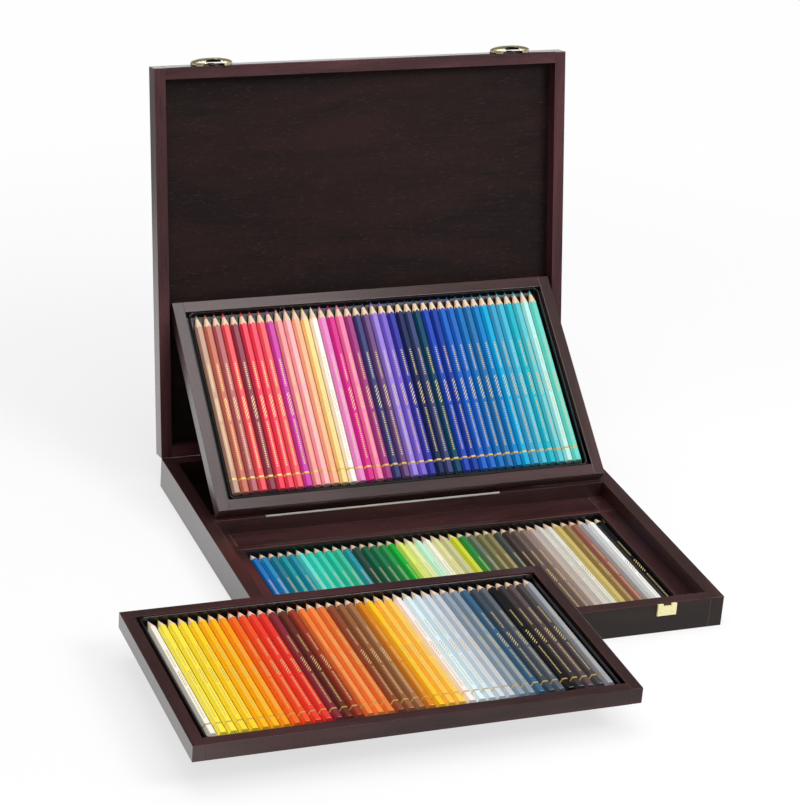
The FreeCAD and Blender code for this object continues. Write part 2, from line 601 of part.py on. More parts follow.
def tray(prefix, place):
    """Frame, board, insert and pencils of one tray; its front bottom edge is on x."""
    base = plate(f"{prefix}_board", "tray_inside + 2 * tray_board_let",
                 "tray_inside_depth + 2 * tray_board_let", "tray_board", "tray_depth / 2",
                 "tray_board_lift")
    groove = box(f"{prefix}_groove", ("-tray_inside / 2 - tray_board_let",
                                      "tray_inside + 2 * tray_board_let"),
                 ("tray_wall - tray_board_let", "tray_inside_depth + 2 * tray_board_let"),
                 ("tray_board_lift", "tray_board"))
    frame = {
        "left_stile": (("-tray_width / 2", "tray_wall"), ("0", "tray_depth")),
        "right_stile": (("tray_width / 2 - tray_wall", "tray_wall"), ("0", "tray_depth")),
        "front_rail": (("-tray_inside / 2", "tray_inside"), ("0", "tray_wall")),
        "back_rail": (("-tray_inside / 2", "tray_inside"), ("tray_depth - tray_wall", "tray_wall")),
    }
    for name, (x, y) in frame.items():
        blank = box(f"{prefix}_{name}_blank", x, y, ("0", "tray_height"))
        keep(f"{prefix}_{name}", cut(f"{prefix}_{name}", blank, groove), place)
    keep(f"{prefix}_board", base, place)
    seat = work_out("tray_board_lift + tray_board")
    height = work_out("tray_height - pencil_drop")
    shape = insert(work_out("tray_inside - 2 * insert_gap"),
                   work_out("tray_inside_depth - 2 * insert_gap"),
                   seat, work_out("tray_height - insert_drop"), height)
    front = work_out("tray_wall + insert_gap")
    keep(f"{prefix}_insert", feature(f"{prefix}_insert", shape),
         place.multiply(Placement(Vector(0, front, 0), Rotation())))
    tips = work_out("tray_depth - tray_wall - insert_gap - insert_wall - pencil_play")
    keep(f"{prefix}_pencils", feature(f"{prefix}_pencils", pencils(
        tips - size("pencil_length"), height)), place)


# Leaning tray: front bottom edge on the partition, back bottom edge against the lid panel
tilt = math.radians(size("tray_tilt"))
swing = math.radians(size("lid_open"))
high = work_out("base_height + rest_gap - axis_z") + work_out("tray_depth") * math.sin(tilt)
reach = work_out("lid_rim + lid_recess - rest_gap - axis_z")
touch = work_out("axis_y") + (reach - high * math.cos(swing)) / math.sin(swing)
leaning = Placement(
    Vector(0, touch - work_out("tray_depth") * math.cos(tilt), work_out("base_height + rest_gap")),
    Rotation(Vector(1, 0, 0), size("tray_tilt")))
tray("upper_tray", leaning)

# Front tray: level on the base's front rims and reaching out past them
tray("front_tray", Placement(
    Vector(size("front_tray_shift"),
           work_out("-base_depth / 2 + front_tray_overlap - tray_depth"),
           work_out("base_height + rest_gap")), Rotation()))

doc.recompute()
for item in doc.Objects:
    if "Invalid" in item.State or "Error" in item.State:
        raise RuntimeError(f"{item.Label} did not rebuild: {item.State}")
for name, piece in parts.items():
    if piece.Shape.isNull() or not piece.Shape.isValid():
        raise RuntimeError(f"{name} has no valid shape")

os.makedirs("parts", exist_ok=True)
for name, piece in parts.items():
    piece.Shape.exportStep(f"parts/{name}.step")
    bounds = piece.Shape.BoundBox
    print(name, len(piece.Shape.Solids), round(piece.Shape.Volume, 1),
          [round(v, 2) for v in (bounds.XMin, bounds.XMax, bounds.YMin, bounds.YMax,
                                 bounds.ZMin, bounds.ZMax)])
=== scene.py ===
import json
import math

import bmesh
import bpy
from mathutils import Matrix, Vector


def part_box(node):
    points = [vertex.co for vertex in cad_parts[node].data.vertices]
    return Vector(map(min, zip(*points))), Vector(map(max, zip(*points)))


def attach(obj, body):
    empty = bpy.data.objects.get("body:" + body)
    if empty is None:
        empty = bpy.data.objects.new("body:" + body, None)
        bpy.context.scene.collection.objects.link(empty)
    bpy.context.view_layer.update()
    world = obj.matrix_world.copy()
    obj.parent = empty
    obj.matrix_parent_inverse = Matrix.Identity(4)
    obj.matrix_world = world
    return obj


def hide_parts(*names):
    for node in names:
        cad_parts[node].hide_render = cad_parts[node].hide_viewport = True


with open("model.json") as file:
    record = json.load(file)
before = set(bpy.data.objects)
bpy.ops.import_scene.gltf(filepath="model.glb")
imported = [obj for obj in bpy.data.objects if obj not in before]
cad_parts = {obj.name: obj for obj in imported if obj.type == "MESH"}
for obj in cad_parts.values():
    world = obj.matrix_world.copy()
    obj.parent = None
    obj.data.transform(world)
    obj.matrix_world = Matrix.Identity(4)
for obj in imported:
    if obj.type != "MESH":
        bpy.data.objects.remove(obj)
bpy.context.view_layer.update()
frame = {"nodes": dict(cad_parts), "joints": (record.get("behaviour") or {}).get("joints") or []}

mm = 0.001
scene = bpy.context.scene


# Colours, nodes and meshes

def hexToLinear(code):
    channels = [int(code[i:i + 2], 16) / 255 for i in (0, 2, 4)]
    return [c / 12.92 if c <= 0.04045 else ((c + 0.055) / 1.055) ** 2.4 for c in channels] + [1.0]


def fillSockets(tree, node, sockets):
    for key, value in sockets.items():
        if isinstance(value, bpy.types.Node):  # a node stands for its first output
            value = value.outputs[0]
        if isinstance(value, bpy.types.NodeSocket):
            tree.links.new(value, node.inputs[key])
        else:
            node.inputs[key].default_value = value


def addNode(tree, kind, sockets=None, **settings):
    node = tree.nodes.new(kind)
    for key, value in settings.items():
        setattr(node, key, value)
    fillSockets(tree, node, sockets or {})
    return node


def newMaterial(name):
    material = bpy.data.materials.new(name)
    material.use_nodes = True
    material.node_tree.nodes.clear()
    return material, material.node_tree


def linkObject(name, mesh):
    piece = bpy.data.objects.new(name, mesh)
    scene.collection.objects.link(piece)
    return piece


def bakeModifiers(piece):
    bpy.context.view_layer.update()
    evaluated = piece.evaluated_get(bpy.context.evaluated_depsgraph_get())
    mesh = bpy.data.meshes.new_from_object(evaluated)
    mesh.name = piece.name
    old = piece.data
    piece.modifiers.clear()
    piece.data = mesh
    bpy.data.meshes.remove(old)
    return piece


def soften(mesh, degrees):
    mesh.polygons.foreach_set("use_smooth", [True] * len(mesh.polygons))
    mesh.set_sharp_from_angle(angle=math.radians(degrees))


def turned(y, z, degrees):
    pivot = Vector((0, y * mm, z * mm))
    turn = Matrix.Rotation(math.radians(degrees), 4, "X")
    return Matrix.Translation(pivot) @ turn @ Matrix.Translation(-pivot)


def shifted(x, y, z, degrees=0.0):
    return Matrix.Translation(Vector((x, y, z)) * mm) @ Matrix.Rotation(math.radians(degrees), 4, "X")


caseSizes = {  # mm
    "halfWidth": 191.5, "halfDepth": 171.5, "rim": 27.0, "hingeLine": 27.15, "lidRim": 27.3, "top": 43.8,
}
traySizes = {"halfWidth": 178.5, "depth": 202.0, "thick": 13.5, "lean": 37.8}  # mm, and degrees from level

lidHinge = next(joint for joint in frame["joints"] if joint["name"] == "lid_hinge")
footOut = traySizes["thick"] * math.sin(math.radians(traySizes["lean"]))
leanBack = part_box("upper_tray_left_stile")[0] / mm + Vector((0, footOut, 0))
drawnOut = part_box("front_tray_left_stile")[0] / mm
places = {  # where each body's own frame stands in the case
    "base": Matrix.Identity(4),
    "lid": turned(lidHinge["pos_m"][1] / mm, lidHinge["pos_m"][2] / mm, -lidHinge["range_deg"][1]),
    "upper_tray": shifted(0.0, leanBack.y, leanBack.z, traySizes["lean"]),
    "front_tray": shifted(drawnOut.x + traySizes["halfWidth"], drawnOut.y, drawnOut.z),
}
places["left_clasp"] = places["right_clasp"] = places["lid"]


# Camera

cameraSettings = {
    "place": (-0.830305, -1.929476, 1.095517),
    "turn": 22.275217,  # degrees from straight on
    "tilt": 24.485404,  # degrees below the horizon
    "roll": 4.610161,
    "lens": 124.361,
}


def makeCamera(values):
    a, e, roll = (math.radians(values[key]) for key in ("turn", "tilt", "roll"))
    ahead = Vector((math.sin(a) * math.cos(e), math.cos(a) * math.cos(e), -math.sin(e)))
    right = Vector((math.cos(a), -math.sin(a), 0.0))
    up = right.cross(ahead)
    across = right * math.cos(roll) + up * math.sin(roll)
    above = up * math.cos(roll) - right * math.sin(roll)
    camera = bpy.data.objects.new("camera", bpy.data.cameras.new("camera"))
    turn = Matrix((across, above, -ahead)).transposed().to_4x4()
    camera.matrix_world = Matrix.Translation(values["place"]) @ turn
    camera.data.sensor_width = 36.0
    camera.data.sensor_fit = "HORIZONTAL"
    camera.data.lens = values["lens"]
    camera.data.clip_start = 0.05
    camera.data.clip_end = 60.0
    scene.collection.objects.link(camera)
    scene.camera = camera


makeCamera(cameraSettings)
print("camera set")


# Wood: stained and lacquered hardwood, and a stained veneered board

# Close-grained hardwood, stained and sprayed with satin lacquer: dark red-brown with fine streaks.
# Widths and lengths are mm. Real pores are 0.1 wide, too fine to show, so they are drawn coarser.
hardwood = {
    "name": "stained hardwood, satin lacquer",
    "deep": "251110", "mid": "3E1E1D", "warm": "50292A", "arris": "6E4A44", "pore": "190B0A",
    "fibre": 1.1, "fibreLength": 34.0, "figure": 22.0, "figureLength": 190.0,
    "poreWidth": 0.55, "poreLength": 4.5, "poreShare": 0.60, "poreAmount": 0.55,
    "roughness": 0.42, "edgeHighlight": 1.0, "specular": 0.4, "coat": 1.0, "coatRoughness": 0.2, "bump": 0.12,
}
# Stained veneer on board: darker and flatter, with pale flecks where the stain skips the pores.
veneer = {
    "name": "stained veneer board",
    "deep": "190F0F", "mid": "231514", "warm": "2F1918", "arris": "44302E", "pore": "4C3837",
    "fibre": 1.4, "fibreLength": 46.0, "figure": 40.0, "figureLength": 160.0,
    "poreWidth": 0.6, "poreLength": 6.0, "poreShare": 0.66, "poreAmount": 0.5,
    "roughness": 0.5, "edgeHighlight": 1.0, "specular": 0.2, "coat": 0.0, "coatRoughness": 0.4, "bump": 0.1,
}


def makeWood(values):
    material, tree = newMaterial(values["name"])
    grain = addNode(tree, "ShaderNodeAttribute", attribute_name="grain").outputs["Vector"]
    arris = addNode(tree, "ShaderNodeAttribute", attribute_name="arris").outputs["Fac"]

    def stretched(width, length, detail, distortion=0.0):
        cycles = (1 / (length * mm), 1 / (width * mm), 1 / (width * mm))
        scaled = addNode(tree, "ShaderNodeVectorMath", {0: grain, 1: cycles}, operation="MULTIPLY")
        return addNode(tree, "ShaderNodeTexNoise", {
            "Vector": scaled, "Scale": 1.0, "Detail": detail, "Roughness": 0.6, "Distortion": distortion})

    fibre = stretched(values["fibre"], values["fibreLength"], 4.0)
    figure = stretched(values["figure"], values["figureLength"], 3.0, 0.6)
    pore = stretched(values["poreWidth"], values["poreLength"], 1.0)
    tones = addNode(tree, "ShaderNodeValToRGB", {"Fac": fibre})
    ends = tones.color_ramp.elements
    ends[0].position, ends[1].position = 0.3, 0.72
    ends[0].color, ends[1].color = hexToLinear(values["deep"]), hexToLinear(values["mid"])
    figureShare = addNode(tree, "ShaderNodeMapRange", {
        "Value": figure, "From Min": 0.42, "From Max": 0.68, "To Max": 0.75})
    warmed = addNode(tree, "ShaderNodeMix", {
        "Factor": figureShare, 6: tones, 7: hexToLinear(values["warm"])}, data_type="RGBA")
    poreMask = addNode(tree, "ShaderNodeMapRange", {
        "Value": pore, "From Min": values["poreShare"], "From Max": values["poreShare"] + 0.05,
        "To Max": values["poreAmount"]})
    pored = addNode(tree, "ShaderNodeMix", {
        "Factor": poreMask, 6: warmed.outputs[2], 7: hexToLinear(values["pore"])}, data_type="RGBA")
    # the rounded edges are painted lighter in the arris colour, broken up by the figure: a painted highlight
    highlighted = addNode(tree, "ShaderNodeMath", {0: arris, 1: figure}, operation="MULTIPLY")
    highlighted = addNode(tree, "ShaderNodeMath", {0: highlighted, 1: values["edgeHighlight"]}, operation="MULTIPLY", use_clamp=True)
    edged = addNode(tree, "ShaderNodeMix", {
        "Factor": highlighted, 6: pored.outputs[2], 7: hexToLinear(values["arris"])}, data_type="RGBA")
    roughness = addNode(tree, "ShaderNodeMapRange", {
        "Value": fibre, "To Min": values["roughness"] - 0.07, "To Max": values["roughness"] + 0.09})
    height = addNode(tree, "ShaderNodeMath", {0: fibre, 1: poreMask}, operation="SUBTRACT")
    bump = addNode(tree, "ShaderNodeBump", {"Strength": values["bump"], "Distance": 0.0002, "Height": height})
    surface = addNode(tree, "ShaderNodeBsdfPrincipled", {
        "Base Color": edged.outputs[2], "Roughness": roughness, "Normal": bump,
        "IOR": 1.5, "Specular IOR Level": values["specular"],
        "Coat Weight": values["coat"], "Coat Roughness": values["coatRoughness"]})
    addNode(tree, "ShaderNodeOutputMaterial", {"Surface": surface})
    return material


hardwoodFinish = makeWood(hardwood)
boardTonesAndShade = {  # boards differ in how they took the stain, and the faces at the base's front are painted darker as shade
    "front face": makeWood({
        **hardwood, "name": "stained hardwood, painted front shade",
        "deep": "140A06", "mid": "21130D", "warm": "2B1A12", "coat": 0.35}),
    "lid": makeWood({
        **hardwood, "name": "stained hardwood, redder boards",
        "deep": "2C1214", "mid": "4A2226", "warm": "603036"}),
}
veneerFinish = makeWood(veneer)
bandFinish = makeWood({  # the same veneer on the loose band, with a paler and stronger painted highlight on its rounded edges
    **veneer, "name": "stained veneer band",
    "deep": "2A1413", "mid": "3F2221", "warm": "4C2B2A", "arris": "B08C7E", "pore": "6A4C4A", "edgeHighlight": 2.4})

outlines = {  # lowest and highest corner of each body's woodwork in its own frame, metres
    "base": [Vector((side * caseSizes["halfWidth"], side * caseSizes["halfDepth"], z)) * mm
             for side, z in ((-1, 0.0), (1, caseSizes["rim"]))],
    "lid": [Vector((side * caseSizes["halfWidth"], side * caseSizes["halfDepth"], z)) * mm
            for side, z in ((-1, caseSizes["lidRim"]), (1, caseSizes["top"]))],
}
outlines["upper_tray"] = outlines["front_tray"] = [
    Vector((-traySizes["halfWidth"], 0.0, 0.0)) * mm,
    Vector((traySizes["halfWidth"], traySizes["depth"], traySizes["thick"])) * mm]


def openNode(node, place):
    # the CAD piece in its body's own frame, its loose triangles joined and its flat faces made whole
    work = bmesh.new()
    work.from_mesh(frame["nodes"][node].data)
    bmesh.ops.transform(work, matrix=place.inverted(), verts=work.verts)
    bmesh.ops.remove_doubles(work, verts=work.verts, dist=2e-6)
    bmesh.ops.dissolve_limit(work, angle_limit=math.radians(1), verts=work.verts, edges=work.edges)
    return work


woodwork = {
    "arris": 0.45, "joint": 0.05,  # mm, rounding of the outer edges and of edges that meet a neighbour
    "lipOut": 0.28, "lipUp": 0.14,  # mm, how far the edges at the hinge line stand out and towards each other
    "lipBand": 0.2, "near": 0.02,  # mm, what counts as at the hinge line, and as on the outline
    "sharp": 0.6, "longEdge": 20.0,  # radians and mm, from where on an edge along the grain is rounded
    "facet": 0.2,  # mm, narrowest face of a rounded edge that gets the painted highlight
    "frontShadeDepth": 0.5,  # mm, depth of the painted shade on the faces at the base's front
}


def dressWood(node, body, along, number, finish=hardwoodFinish):
    place = places[body]
    low, high = outlines[body]
    hingeLine = caseSizes["hingeLine"] * mm
    near, lipBand = woodwork["near"] * mm, woodwork["lipBand"] * mm
    mesh = bpy.data.meshes.new(node)
    work = openNode(node, place)
    for vertex in work.verts:
        atBack = body in ("base", "lid") and vertex.co.y > high.y - near
        if atBack and abs(vertex.co.z - hingeLine) < lipBand:
            lift = math.copysign(woodwork["lipUp"], hingeLine - vertex.co.z)
            vertex.co += Vector((0, woodwork["lipOut"], lift)) * mm
    weight = work.edges.layers.float.new("bevel_weight_edge")
    for edge in work.edges:
        if len(edge.link_faces) != 2 or edge.calc_face_angle(0) < woodwork["sharp"] or not edge.is_convex:
            continue
        a, b = (v.co for v in edge.verts)
        onOutline = sum(
            all(min(abs(end[i] - low[i]), abs(end[i] - high[i])) < near for end in (a, b)) for i in range(3))
        atBack = body in ("base", "lid") and min(a.y, b.y) > high.y
        atHinge = atBack and max(abs(end.z - hingeLine) for end in (a, b)) < lipBand
        alongGrain = abs((a - b).normalized()["xyz".index(along)]) > 0.99
        lengthwise = alongGrain and (a - b).length > woodwork["longEdge"] * mm
        rounded = onOutline >= 2 or lengthwise or node == "deck_band"
        edge[weight] = 0.0 if atHinge else 1.0 if rounded else woodwork["joint"] / woodwork["arris"]
    work.to_mesh(mesh)
    work.free()
    piece = linkObject(node + "_wood", mesh)
    bevel = piece.modifiers.new("arris", "BEVEL")
    bevel.width, bevel.segments, bevel.limit_method = woodwork["arris"] * mm, 2, "WEIGHT"
    bakeModifiers(piece)
    mesh = piece.data
    grain = mesh.attributes.new("grain", "FLOAT_VECTOR", "POINT")
    order = {"x": (0, 1, 2), "y": (1, 0, 2), "z": (2, 0, 1)}[along]
    shift = Vector((0.61 * number, 0.37 * number, 0.83 * number))  # so that no two boards share a figure
    for i, vertex in enumerate(mesh.vertices):
        grain.data[i].vector = Vector([vertex.co[k] for k in order]) + shift
    arris = mesh.attributes.new("arris", "FLOAT", "FACE")
    for i, face in enumerate(mesh.polygons):
        around = sum((mesh.vertices[a].co - mesh.vertices[b].co).length for a, b in face.edge_keys)
        slanted = max(abs(c) for c in face.normal) < 0.9995
        arris.data[i].value = float(slanted and 2 * face.area / around > woodwork["facet"] * mm)
    mesh.materials.clear()
    mesh.materials.append(finish)
    # faces of the base that look to the front take the darker wood: painted shade
    if body == "base":
        mesh.materials.append(boardTonesAndShade["front face"])
        for face in mesh.polygons:
            facesFront = face.normal.y < -0.5 and abs(face.normal.z) < 0.5
            face.material_index = int(facesFront and face.center.y < low.y + woodwork["frontShadeDepth"] * mm)
    mesh.transform(place)
    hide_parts(node)
    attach(piece, body)

members = [
    ("base_left_wall", "base", "y"), ("base_right_wall", "base", "y"),
    ("base_front_wall", "base", "x"), ("base_back_wall", "base", "x"),
    ("deck_left_strip", "base", "y"), ("deck_right_strip", "base", "y"), ("deck_back_strip", "base", "x"),
    ("partition", "base", "x"),
    ("lid_left_stile", "lid", "y"), ("lid_right_stile", "lid", "y"),
    ("lid_front_rail", "lid", "x"), ("lid_back_rail", "lid", "x"),
]
for tray in ("upper_tray", "front_tray"):
    members += [(f"{tray}_left_stile", tray, "y"), (f"{tray}_right_stile", tray, "y"),
                (f"{tray}_front_rail", tray, "x"), (f"{tray}_back_rail", tray, "x")]
for number, (node, body, along) in enumerate(members):
    dressWood(node, body, along, number, boardTonesAndShade.get(body, hardwoodFinish))
boards = [("base_bottom_board", "base", "x"), ("deck_band", "base", "x"), ("lid_panel", "lid", "x"),
          ("upper_tray_board", "upper_tray", "x"), ("front_tray_board", "front_tray", "x")]
for number, (node, body, along) in enumerate(boards, 50):
    dressWood(node, body, along, number, bandFinish if node == "deck_band" else veneerFinish)
print("woodwork dressed:", len(members) + len(boards), "pieces")


# Plastic inserts

moulding = {  # black polystyrene, vacuum formed: smooth and softly glossy, with a faint orange peel
    "colour": "070709", "haze": "0E0E12", "roughness": 0.3, "coat": 0.7, "coatRoughness": 0.16,
    "peel": 1.2, "clouds": 60.0,  # mm
}


def makePlastic(values):
    material, tree = newMaterial("black moulded plastic")
    place = addNode(tree, "ShaderNodeTexCoord").outputs["Object"]
    peel = addNode(tree, "ShaderNodeTexNoise", {
        "Vector": place, "Scale": 1 / (values["peel"] * mm), "Detail": 2.0})
    haze = addNode(tree, "ShaderNodeTexNoise", {
        "Vector": place, "Scale": 1 / (values["clouds"] * mm), "Detail": 3.0})
    tone = addNode(tree, "ShaderNodeMix", {
        "Factor": haze, 6: hexToLinear(values["colour"]), 7: hexToLinear(values["haze"])}, data_type="RGBA")
    rough = addNode(tree, "ShaderNodeMapRange", {
        "Value": haze, "To Min": values["roughness"] - 0.08, "To Max": values["roughness"] + 0.1})
    bump = addNode(tree, "ShaderNodeBump", {"Strength": 0.06, "Distance": 0.0002, "Height": peel})
    surface = addNode(tree, "ShaderNodeBsdfPrincipled", {
        "Base Color": tone.outputs[2], "Roughness": rough, "Normal": bump,
        "IOR": 1.55, "Coat Weight": values["coat"], "Coat Roughness": values["coatRoughness"]})
    addNode(tree, "ShaderNodeOutputMaterial", {"Surface": surface})
    return material


plasticFinish = makePlastic(moulding)

# mm. Each profile runs from the foot outside, over the bead and down to the bed, and each of its points is
# inset in x, inset in y, height and corner radius.
insertSizes = {
    "tray": {"half": 168.2, "front": 10.3, "back": 191.7, "first": 16.3, "axis": 8.8, "profile": (
        (0.0, 0.0, 3.0, 1.0), (0.0, 0.0, 7.9, 1.0), (0.3, 0.05, 8.2, 1.0), (2.2, 0.1, 8.2, 3.4),
        (2.5, 0.12, 8.5, 3.8), (2.5, 0.12, 11.9, 4.0), (2.6, 0.2, 12.35, 4.1), (2.85, 0.36, 12.65, 4.2),
        (3.1, 0.55, 12.75, 4.4), (3.35, 0.76, 12.65, 4.4), (3.6, 0.95, 12.35, 4.3), (3.7, 1.05, 11.9, 4.2),
        (3.8, 1.1, 5.6, 4.0), (4.3, 1.3, 4.9, 3.6))},
    "base": {"half": 163.74, "front": -160.5, "back": 16.3, "first": -159.1, "axis": 8.8, "profile": (
        (0.0, 0.0, 4.0, 1.0), (0.0, 0.0, 11.9, 1.2), (0.1, 0.1, 12.35, 1.2), (0.3, 0.3, 12.7, 1.3),
        (0.55, 0.55, 12.8, 1.3), (0.8, 0.8, 12.7, 1.2), (1.0, 1.0, 12.35, 1.0), (1.1, 1.05, 11.9, 0.9),
        (1.15, 1.1, 5.6, 0.8), (1.3, 1.3, 4.9, 0.7))},
    "pitch": 8.12, "groove": 3.55, "grooveSteps": 6, "ridge": 6.5, "bedLength": 157.0, "count": 40,
    "fins": (-81.2, 0.0, 81.2), "finWidth": 0.9, "finDepth": 0.9, "finTop": 11.6,
    "sunk": 0.3,  # how far the bed and the fins reach into what they stand on
}


def roundedLoop(half, front, back, radius, steps=7):
    corners = ((half, back, 0), (-half, back, 90), (-half, front, 180), (half, front, 270))
    points = []
    for x, y, start in corners:
        cx, cy = x - math.copysign(radius, x), y - (radius if y == back else -radius)
        for i in range(steps + 1):
            angle = math.radians(start + 90 * i / steps)
            points.append((cx + radius * math.cos(angle), cy + radius * math.sin(angle)))
    return points


def closedPrism(work, points, y0, y1):
    rows = [[work.verts.new((x * mm, y * mm, z * mm)) for x, z in points] for y in (y0, y1)]
    for i in range(len(points)):
        j = (i + 1) % len(points)
        work.faces.new((rows[0][i], rows[0][j], rows[1][j], rows[1][i]))
    work.faces.new(rows[0][::-1])
    work.faces.new(rows[1])


def makeInsert(node, body, kind):
    sizes = insertSizes[kind]
    work = bmesh.new()
    rows = []
    for insetX, insetY, height, corner in sizes["profile"]:
        loop = roundedLoop(sizes["half"] - insetX, sizes["front"] + insetY, sizes["back"] - insetY, corner)
        rows.append([work.verts.new((x * mm, y * mm, height * mm)) for x, y in loop])
    for low, high in zip(rows, rows[1:]):
        for i in range(len(low)):
            j = (i + 1) % len(low)
            work.faces.new((low[i], low[j], high[j], high[i]))
    work.faces.new(rows[0][::-1])
    work.faces.new(rows[-1])
    bed, axis, sunk = sizes["profile"][-1][2], sizes["axis"], insertSizes["sunk"]
    reach, steps = insertSizes["groove"], insertSizes["grooveSteps"]
    rise = axis - insertSizes["ridge"]
    half = math.sqrt(reach ** 2 - rise ** 2)
    span = insertSizes["pitch"] * insertSizes["count"] / 2
    outline = [(-span, bed - sunk), (-span, insertSizes["ridge"])]
    for i in range(insertSizes["count"]):  # one shallow groove under each pencil
        middle = (i - (insertSizes["count"] - 1) / 2) * insertSizes["pitch"]
        for k in range(steps + 1):
            x = -half + 2 * half * k / steps
            outline.append((middle + x, axis - math.sqrt(reach ** 2 - x ** 2)))
    outline += [(span, insertSizes["ridge"]), (span, bed - sunk)]
    closedPrism(work, outline, sizes["first"], sizes["first"] + insertSizes["bedLength"])
    wall = sizes["back"] - sizes["profile"][-2][1]
    width, top = insertSizes["finWidth"] / 2, insertSizes["finTop"]
    for x in insertSizes["fins"]:
        fin = [(x - width, bed - sunk), (x - width, top), (x + width, top), (x + width, bed - sunk)]
        closedPrism(work, fin, wall - insertSizes["finDepth"], wall + sunk)
    bmesh.ops.recalc_face_normals(work, faces=work.faces)
    mesh = bpy.data.meshes.new(node + "_moulding")
    work.to_mesh(mesh)
    work.free()
    soften(mesh, 38)
    piece = linkObject(node + "_moulding", mesh)
    mesh.transform(places[body])
    mesh.materials.append(plasticFinish)
    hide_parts(node)
    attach(piece, body)


makeInsert("base_insert", "base", "base")
makeInsert("upper_tray_insert", "upper_tray", "tray")
makeInsert("front_tray_insert", "front_tray", "tray")
print("inserts moulded: 3")


# Pencils

pencilSizes = {  # mm, but the corners' softness is in degrees
    "Pitch": 8.12, "Pencil Length": 174.0, "Across Flats": 6.76, "Cone Length": 14.0, "Tip Radius": 0.35,
    "Lead Radius": 1.5, "Corner Softness": 2.0, "Ring From End": 11.9, "Ring Width": 1.7, "End Chamfer": 0.28,
    "Unevenness": 0.15,
}
pencilPaint = {  # each pencil's lacquer and lead, from the left
    "upper_tray": (
        "C39A86 C8705A B8656A F2545B 8E3A4E F23F58 F04862 F5606A CB3FA9 F89B9B FBB3B8 F9B48F F8DA8E FBEFE6 "
        "E987C8 D8248C F580AE A03A80 3A3F75 6E4A7E 9A7FDB 7B62C9 3438A0 1F2A56 3B4674 0E4662 2348B5 1E3F9E "
        "1F62C4 2368BE 1470B8 2A74AE 1180C4 12A9D8 3FA0C6 45B9D6 1FB4C6 5CC5D0 B4EAE6 6CD3C4"),
    "front_tray": (
        "F7F3E4 FBE94B FCE84A FBE03A FDD52A FDBE1E FDBA1A FC9F1A F36B21 F1562A EE4130 E63A30 86303A 6B3228 "
        "A03C2A F3803C F58A42 E67A38 8F4A32 97603C A5704A D98420 FCC524 FCC44C FDCB55 F8ECE4 DDF0F5 D6E4EA "
        "CFD7DF C3CAD3 8D9DAC 8496A3 3A6382 3E4B57 5A6470 141414 3A3638 5A4C4E 4A4446 9A9EA6"),
    "base": (
        "1A77C4 1F8EC2 1E7F94 129AA6 1B93A8 5CE0D4 3AD8C0 34CDB4 22C8A6 3CC0A0 2498A4 2A4F44 176A4A 257E52 "
        "2F9652 18B63C DFEF70 EEF2AE C6F5DC FBF7E4 E4E2A4 D0CE9C D3DC2E 2C8E40 6F7A64 7E7C50 8C8158 4A4F4B "
        "4C3B35 6A5A52 8E776E BFAEA6 D8D4CC E4E2D8 CDB96A 9C8050 A0685A B4B6BA F6F6F4 131314"),
}
pencilStart = {  # where the middle of the row's blunt ends lies in its body's frame, mm
    "base": (0.0, -159.1, 8.8), "upper_tray": (0.0, 16.3, 8.8), "front_tray": (0.0, 16.3, 8.8),
}


# A plain stamped ornament in gold foil: fine dashes either side of a run of slanting strokes.
# Its places are mm from the blunt end.
foilMarks = {
    "gold": "F0D490", "dashes": ((21.0, 64.0), (97.0, 124.0)), "dashPitch": 2.1, "dashShare": 0.5,
    "dashWidth": 1.3, "strokes": (68.0, 90.0), "strokePitch": 3.4, "strokeShare": 0.42, "strokeWidth": 2.5,
    "strokeSlant": 1.5, "flatWithin": 0.05, "shine": 0.35,
}


def makeFoilMask(tree, values):
    own = addNode(tree, "ShaderNodeAttribute", attribute_name="own").outputs["Vector"]
    x, y, z = addNode(tree, "ShaderNodeSeparateXYZ", {0: own}).outputs
    aside = addNode(tree, "ShaderNodeMath", {0: x}, operation="ABSOLUTE")

    def marks(low, high, pitch, share, width, slant=0.0):
        above = addNode(tree, "ShaderNodeMath", {0: y, 1: low * mm}, operation="GREATER_THAN")
        below = addNode(tree, "ShaderNodeMath", {0: y, 1: high * mm}, operation="LESS_THAN")
        within = addNode(tree, "ShaderNodeMath", {0: above, 1: below}, operation="MULTIPLY")
        leaned = addNode(tree, "ShaderNodeMath", {0: x, 1: slant}, operation="MULTIPLY")
        along = addNode(tree, "ShaderNodeMath", {0: y, 1: leaned}, operation="SUBTRACT")
        beats = addNode(tree, "ShaderNodeMath", {0: along, 1: pitch * mm}, operation="DIVIDE")
        beat = addNode(tree, "ShaderNodeMath", {0: beats}, operation="FRACT")
        struck = addNode(tree, "ShaderNodeMath", {0: beat, 1: share}, operation="LESS_THAN")
        mark = addNode(tree, "ShaderNodeMath", {0: within, 1: struck}, operation="MULTIPLY")
        narrow = addNode(tree, "ShaderNodeMath", {0: aside, 1: width * mm / 2}, operation="LESS_THAN")
        return addNode(tree, "ShaderNodeMath", {0: mark, 1: narrow}, operation="MULTIPLY")

    mask = marks(*values["strokes"], values["strokePitch"], values["strokeShare"],
                 values["strokeWidth"], values["strokeSlant"])
    for low, high in values["dashes"]:
        dashes = marks(low, high, values["dashPitch"], values["dashShare"], values["dashWidth"])
        mask = addNode(tree, "ShaderNodeMath", {0: mask, 1: dashes}, operation="MAXIMUM")
    flatHeight = (pencilSizes["Across Flats"] / 2 - values["flatWithin"]) * mm
    onTop = addNode(tree, "ShaderNodeMath", {0: z, 1: flatHeight}, operation="GREATER_THAN")
    return addNode(tree, "ShaderNodeMath", {0: mask, 1: onTop}, operation="MULTIPLY")


